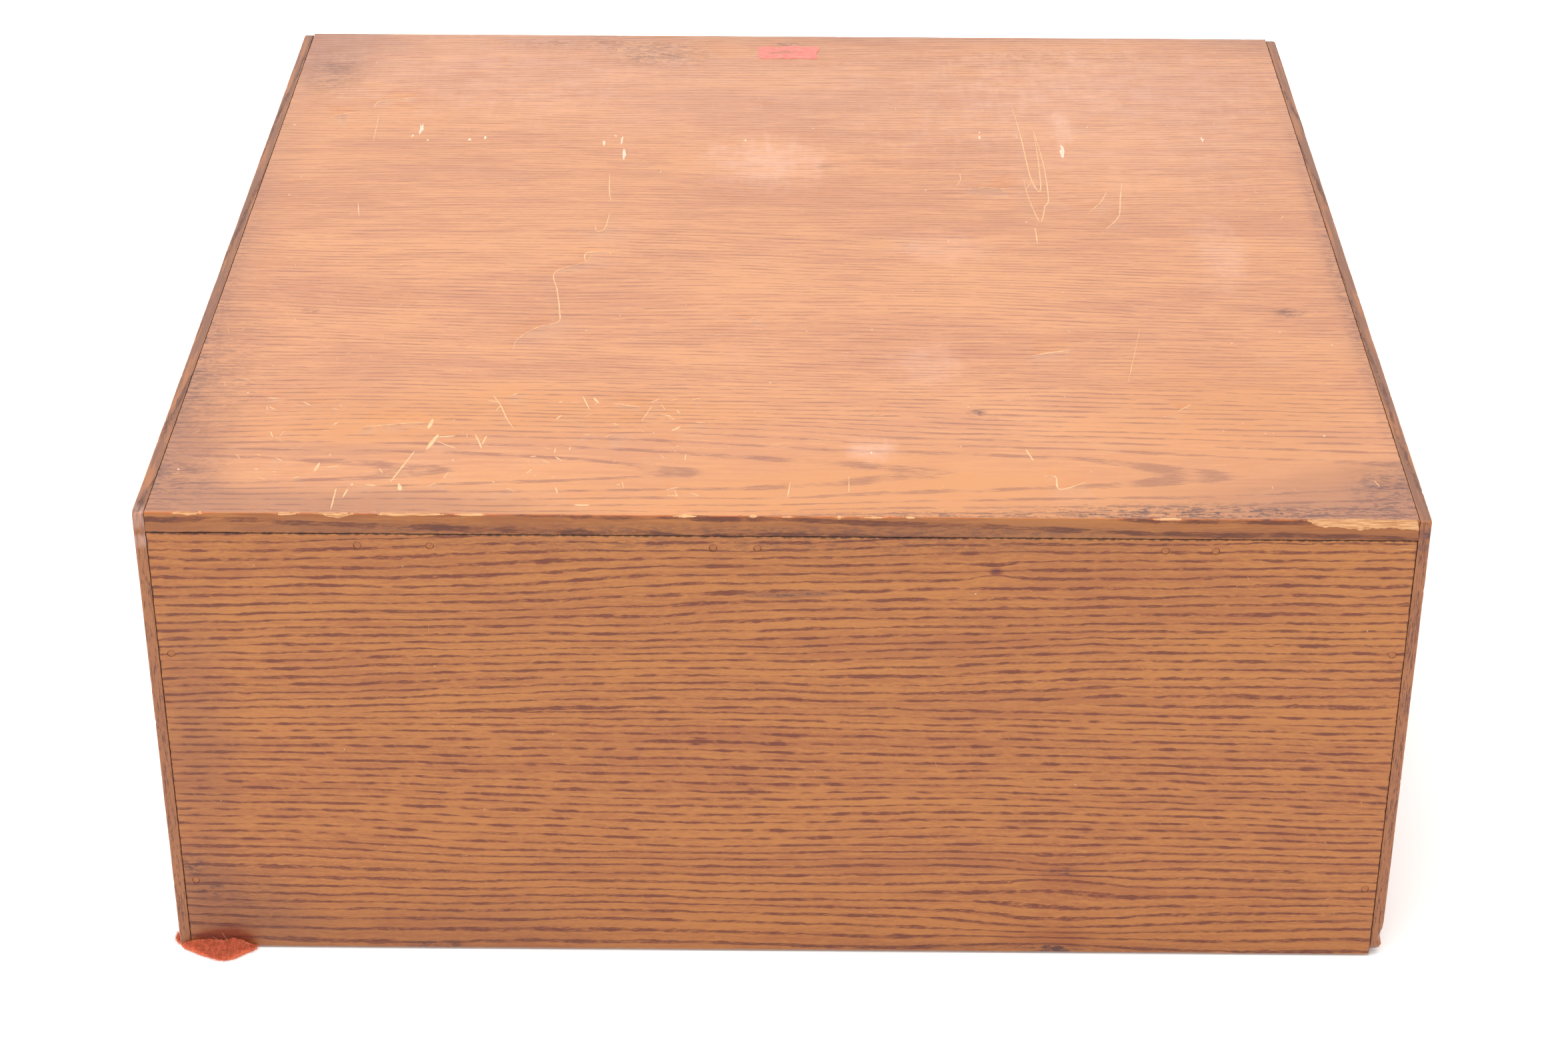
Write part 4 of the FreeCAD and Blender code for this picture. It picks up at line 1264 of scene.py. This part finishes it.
def felt_pads():
    """Three pads pressed flat under the corners, and one that has slipped out under a rear corner."""
    red = felt("felt_orange")
    low, high = SEATED_PADS.low, SEATED_PADS.high
    far_x, far_y = high.x - PAD_SIDE, high.y - PAD_SIDE
    corners = {"front_left": (low.x, low.y), "front_right": (far_x, low.y), "rear_left": (low.x, far_y)}
    for i, (name, (x, y)) in enumerate(corners.items()):
        square = [(x, y), (x + PAD_SIDE, y), (x + PAD_SIDE, y + PAD_SIDE), (x, y + PAD_SIDE)]
        pad = flat_piece("felt_" + name, ragged(square, 0.8, 0.3, 3.0 + i), pressed_height, 0.0, 1.2, i)
        settle_felt(pad, red, "felt_pads")
    loop = ragged(LOOSE_OUTLINE, 0.35, 0.45, 5.0)
    pad = flat_piece("felt_loose", loop, loose_height, 0.0, 0.45, 11, 180.0)
    settle_felt(pad, red, "loose_felt_pad")
    hairs = felt_hairs("felt_loose_hairs", loop, loose_height, 4600, 4, under_carcass)
    settle_felt(hairs, red, "loose_felt_pad")
    settle_felt(stray_hairs("felt_stray_hairs"), pale_hair("pale_hair"), "loose_felt_pad")


# ---- The label ---------------------------------------------------------------------------------------------

# Outline of the torn label.
LABEL_OUTLINE = [
    (13.1, -188.9), (14.1, -196.8), (13.8, -200.6), (13.2, -202.6), (10.8, -203.1), (8.0, -202.8),
    (6.2, -202.4), (5.2, -201.2), (4.4, -202.4), (3.4, -203.0), (-0.3, -203.5), (-3.7, -203.5),
    (-5.9, -202.4), (-8.4, -202.7), (-10.9, -203.3), (-13.2, -202.0), (-13.4, -199.6), (-12.4, -197.0),
    (-11.9, -193.9), (-12.6, -191.4), (-12.4, -189.3), (-8.7, -188.6), (-4.6, -189.5), (-1.5, -189.4),
    (0.1, -188.3), (1.6, -188.9), (2.6, -190.0), (4.0, -189.2), (7.9, -188.6),
]
RUBBED = ((7.2, -195.5, 4.5, 2.6, 0.9), (1.5, -196.4, 6.5, 3.6, 1.0), (-5.5, -196.4, 5.0, 2.2, 0.7))


def label_height(place):
    """The tape lies flat but for small wrinkles, and lifts a little at its torn end."""
    wrinkle = noise_at(place.x * 0.5, place.y * 0.9, 4.0)
    lifted = max(0.0, -place.x - 9.0) / 4.5
    return TOP_Z + 0.12 + 0.04 * wrinkle + 0.12 * lifted


def tape_label():
    """A worn strip of red tape with torn edges. It is blank, only rubbed grey in the middle."""
    loop = ragged(LABEL_OUTLINE[::-1], 0.4, 0.22, 2.0)
    thing = flat_piece("tape_label", loop, label_height, TOP_Z, 0.7, 6, 50.0)
    s = Surface("tape_red")
    x, y, z = s.place()
    worn = s.noise(x / 3.0, y / 1.6, 0.0, 5.0, 0.7)
    colour = s.mix(s.ease(worn, 0.3, 0.7), rgb(222, 124, 112), rgb(214, 100, 90))
    rubbed = s.stained(x, y, RUBBED, s.noise(x / 1.6, y / 1.1, 0.0, 4.0, 0.7) * 2.0 - 0.5)
    colour = s.mix(rubbed * 0.75, colour, rgb(132, 104, 84))
    s.relief(worn + s.noise(x / 0.3, y / 0.3, 0.0, 2.0) * 0.3, 0.06)
    dress(thing, s.finish(Base_Color=colour, Roughness=0.6))
    settle(thing, "top_label")


# ---- Pieces that keep their CAD shape ----------------------------------------------------------------------


def soften(thing, width):
    """Rounds a node's sharp edges a little."""
    bevel = thing.modifiers.new("arris", "BEVEL")
    bevel.width = width * METRE
    bevel.segments = 2
    bevel.limit_method = "ANGLE"
    bevel.angle_limit = math.radians(40.0)


def finish_node(node, material, width=0.3):
    """Gives a node its material and its finish, and rounds its edges by the width."""
    thing = bpy.data.objects[node]
    for i in range(len(thing.data.materials)):
        thing.data.materials[i] = material
    if not thing.data.materials:
        dress(thing, material)
    if width:
        soften(thing, width)


def brass(name, shift):
    """Old lacquered brass: patches of brown patina and dark specks, smoother where fingers rub it."""
    s = Surface(name)
    x, y, z = s.place()
    patina = s.noise(x / 14.0, y / 14.0, z / 14.0 + shift, 3.0, 0.55)
    rubbed = s.noise(x / 30.0, 4.0, z / 1.2, 2.0)
    speck = s.noise(x / 1.1, y / 1.1, z / 1.1, 2.0)
    colour = s.mix(s.ease(patina, 0.35, 0.72), rgb(188, 150, 88), rgb(146, 108, 62))
    colour = s.mix(s.ease(speck, 0.68, 0.8, 0.0, 0.5), colour, rgb(78, 54, 34))
    rough = s.ease(patina, 0.3, 0.7, 0.34, 0.5) + (rubbed - 0.5) * 0.12
    s.relief(rubbed * 0.5 + speck * 0.5, 0.02)
    return s.finish(Base_Color=colour, Metallic=1.0, Roughness=rough)


def iron(name):
    """Blued wire, gone brown."""
    s = Surface(name)
    x, y, z = s.place()
    rust = s.noise(x / 0.9, y / 0.9, z / 0.9, 3.0)
    colour = s.mix(s.ease(rust, 0.4, 0.65), rgb(96, 92, 90), rgb(98, 58, 38))
    s.relief(rust, 0.03)
    return s.finish(Base_Color=colour, Metallic=1.0, Roughness=s.ease(rust, 0.4, 0.6, 0.35, 0.7))


def card(name):
    """A blank card, yellowed in cloudy patches and foxed."""
    s = Surface(name)
    x, y, z = s.place()
    cloud = s.noise(x / 14.0, y, z / 9.0, 4.0, 0.6)
    fox = s.noise(x / 1.4, y, z / 1.4, 2.0)
    colour = s.mix(s.ease(cloud, 0.3, 0.7), rgb(228, 208, 164), rgb(204, 172, 118))
    colour = s.mix(s.ease(fox, 0.66, 0.76, 0.0, 0.5), colour, rgb(150, 98, 54))
    s.relief(s.noise(x / 0.4, y / 0.4, z / 0.4, 2.0), 0.04)
    return s.finish(Base_Color=colour, Roughness=0.85)


def case_front_look(number, shift):
    strips = [Strip(-FAR, 0.0, (-150.0 + 30.0 * number, -330.0, 0.03), 3.9)]
    handled = ((-34, BOTTOM.high.z, 20, 220, 0.25), (36, BOTTOM.high.z, 20, 220, 0.3))
    return Oak(
        (0, 2, 1), rgb(174, 110, 54), rgb(144, 80, 42), rgb(88, 40, 28), strips, shift=shift,
        pores=0.66, wave=5.0, edge_shade=0.3, edge_wear=0.8, grime=handled,
    )


def case_wall_look(axes, shift):
    """Walls and dividers: paler wood, never varnished."""
    return Oak(
        axes, rgb(192, 144, 90), rgb(162, 114, 68), rgb(120, 78, 46),
        [Strip(-FAR, 0.0, (-60.0, -250.0, 0.02), 2.6)], shift=shift, pores=0.25, wave=6.0, fineness=0.4,
        dash=7.0, halo=0.5, roughness=0.6, coat=0.0, gloss=0.3, edge_shade=0.25,
    )


def case_floor_look(shift):
    """A thin bottom, darkened by ink and dust."""
    return Oak(
        (0, 1, 2), rgb(188, 142, 92), rgb(158, 112, 70), rgb(126, 84, 52),
        [Strip(-FAR, 0.0, (0.0, -60.0, 0.02), 7.0)], shift=shift, pores=0.2, wave=14.0, fineness=0.4,
        dash=7.0, halo=0.6, roughness=0.7, coat=0.0, gloss=0.25,
        grime=((-90, -60, 120, 120, 0.25), (100, 90, 120, 90, 0.25)),
    )


def dress_cases():
    screw = brass("brass_screw", 3.0)
    paper = card("card_cream")
    for number, case in enumerate(CASES, 1):
        shift = 20.0 + 3.0 * number
        wall = oak(case + "_wall_wood", case_wall_look((1, 2, 0), shift + 1.0))
        cross = oak(case + "_cross_wood", case_wall_look((0, 2, 1), shift + 6.0))
        front = oak(case + "_front_oak", case_front_look(number, shift))
        finish_node(case + "_front", front, 0.6)
        finish_node(case + "_left_side", wall)
        finish_node(case + "_right_side", wall)
        finish_node(case + "_back", cross)
        bottom = oak(case + "_bottom_wood", case_floor_look(shift + 2.0))
        finish_node(case + "_bottom", bottom, 0.15)
        finish_node(case + "_long_dividers", wall, 0.2)
        finish_node(case + "_cross_dividers", cross, 0.2)
        finish_node(case + "_pull", brass(case + "_brass", 2.0 * number), 0.25)
        finish_node(case + "_pull_screws", screw, 0.1)
        finish_node(case + "_card", paper, 0.0)


def dress_carcass():
    bottom_look = Oak(
        (0, 1, 2), rgb(170, 112, 62), rgb(134, 82, 46), rgb(84, 42, 30),
        [Strip(-FAR, 0.0, (120.0, -70.0, 0.02), 3.8)], shift=14.0, pores=0.6, edge_shade=0.5,
        roughness=0.55, coat=0.0,
    )
    runner_look = Oak(
        (1, 2, 0), rgb(178, 124, 72), rgb(144, 94, 54), rgb(92, 52, 36),
        [Strip(-FAR, 0.0, (-90.0, -60.0, 0.0), 3.4)], shift=16.0, wave=5.0, pores=0.6, roughness=0.5,
        coat=0.0,
    )
    finish_node("bottom_panel", oak("oak_bottom", bottom_look), 0.5)
    runner = oak("oak_runner", runner_look)
    for number in range(1, len(CASES) + 1):
        for side in ("left", "right"):
            finish_node(f"runner_{side}_{number}", runner)
    finish_node("runner_brads", iron("iron_brad"), 0.1)


# ---- Camera, light and floor -------------------------------------------------------------------------------

SENSOR = 36.0
LENS = 74.0
EYE = Vector((-0.0154 * WIDTH, REAR_Y + 2.139 * WIDTH, 1.6657 * WIDTH))
HEADING, PITCH, ROLL = math.radians(180.354), math.radians(30.32), math.radians(0.22)
WHITE = (1.0, 1.0, 1.0, 1.0)
FLOOR_DARK = (0.86, 0.85, 0.845, 1.0)
FLOOR_LIGHT = (0.89, 0.88, 0.875, 1.0)
FLOOR_GLOW = (1.0, 0.985, 0.98, 1.0)


def camera():
    """Looks down at the back and the top, a little left of the middle."""
    data = bpy.data.cameras.new("camera")
    data.sensor_width = SENSOR
    data.lens = LENS
    data.clip_end = 50.0
    thing = bpy.data.objects.new("camera", data)
    bpy.context.scene.collection.objects.link(thing)
    turn = Matrix.Rotation(HEADING, 4, "Z") @ Matrix.Rotation(math.pi / 2 - PITCH, 4, "X")
    thing.matrix_world = Matrix.Translation(EYE * METRE) @ (turn @ Matrix.Rotation(ROLL, 4, "Z"))
    bpy.context.scene.camera = thing


def softbox(name, place, aim, size, power, colour):
    data = bpy.data.lights.new(name, "AREA")
    data.shape = "RECTANGLE"
    data.size, data.size_y = size
    data.energy = power
    data.color = colour
    thing = bpy.data.objects.new(name, data)
    bpy.context.scene.collection.objects.link(thing)
    thing.location = place
    thing.rotation_euler = (Vector(aim) - Vector(place)).to_track_quat("-Z", "Y").to_euler()


def studio():
    """A white room with one large soft light overhead, and a pale floor."""
    world = bpy.data.worlds.new("studio")
    bpy.context.scene.world = world
    world.use_nodes = True
    background = world.node_tree.nodes["Background"]
    background.inputs["Color"].default_value = WHITE
    background.inputs["Strength"].default_value = 1.0
    softbox("overhead", (0.25, 0.35, 1.9), (0.0, 0.0, 0.1), (1.8, 1.8), 42.0, (1.0, 0.99, 0.97))
    bpy.context.scene.view_settings.view_transform = "Standard"

    bm = bmesh.new()
    bmesh.ops.create_grid(bm, x_segments=4, y_segments=4, size=4.0)
    floor = as_object(bm, "floor")
    s = Surface("floor_white")
    x, y, z = s.place()
    colour = s.mix(s.noise(x / 900.0, y / 900.0), FLOOR_DARK, FLOOR_LIGHT)
    glow = {"Emission_Color": FLOOR_GLOW, "Emission_Strength": 0.1}
    dress(floor, s.finish(Base_Color=colour, Roughness=0.7, **glow))


camera()
studio()
top_board()
back_board()
side_boards()
peg_ends()
felt_pads()
tape_label()
dress_carcass()
dress_cases()
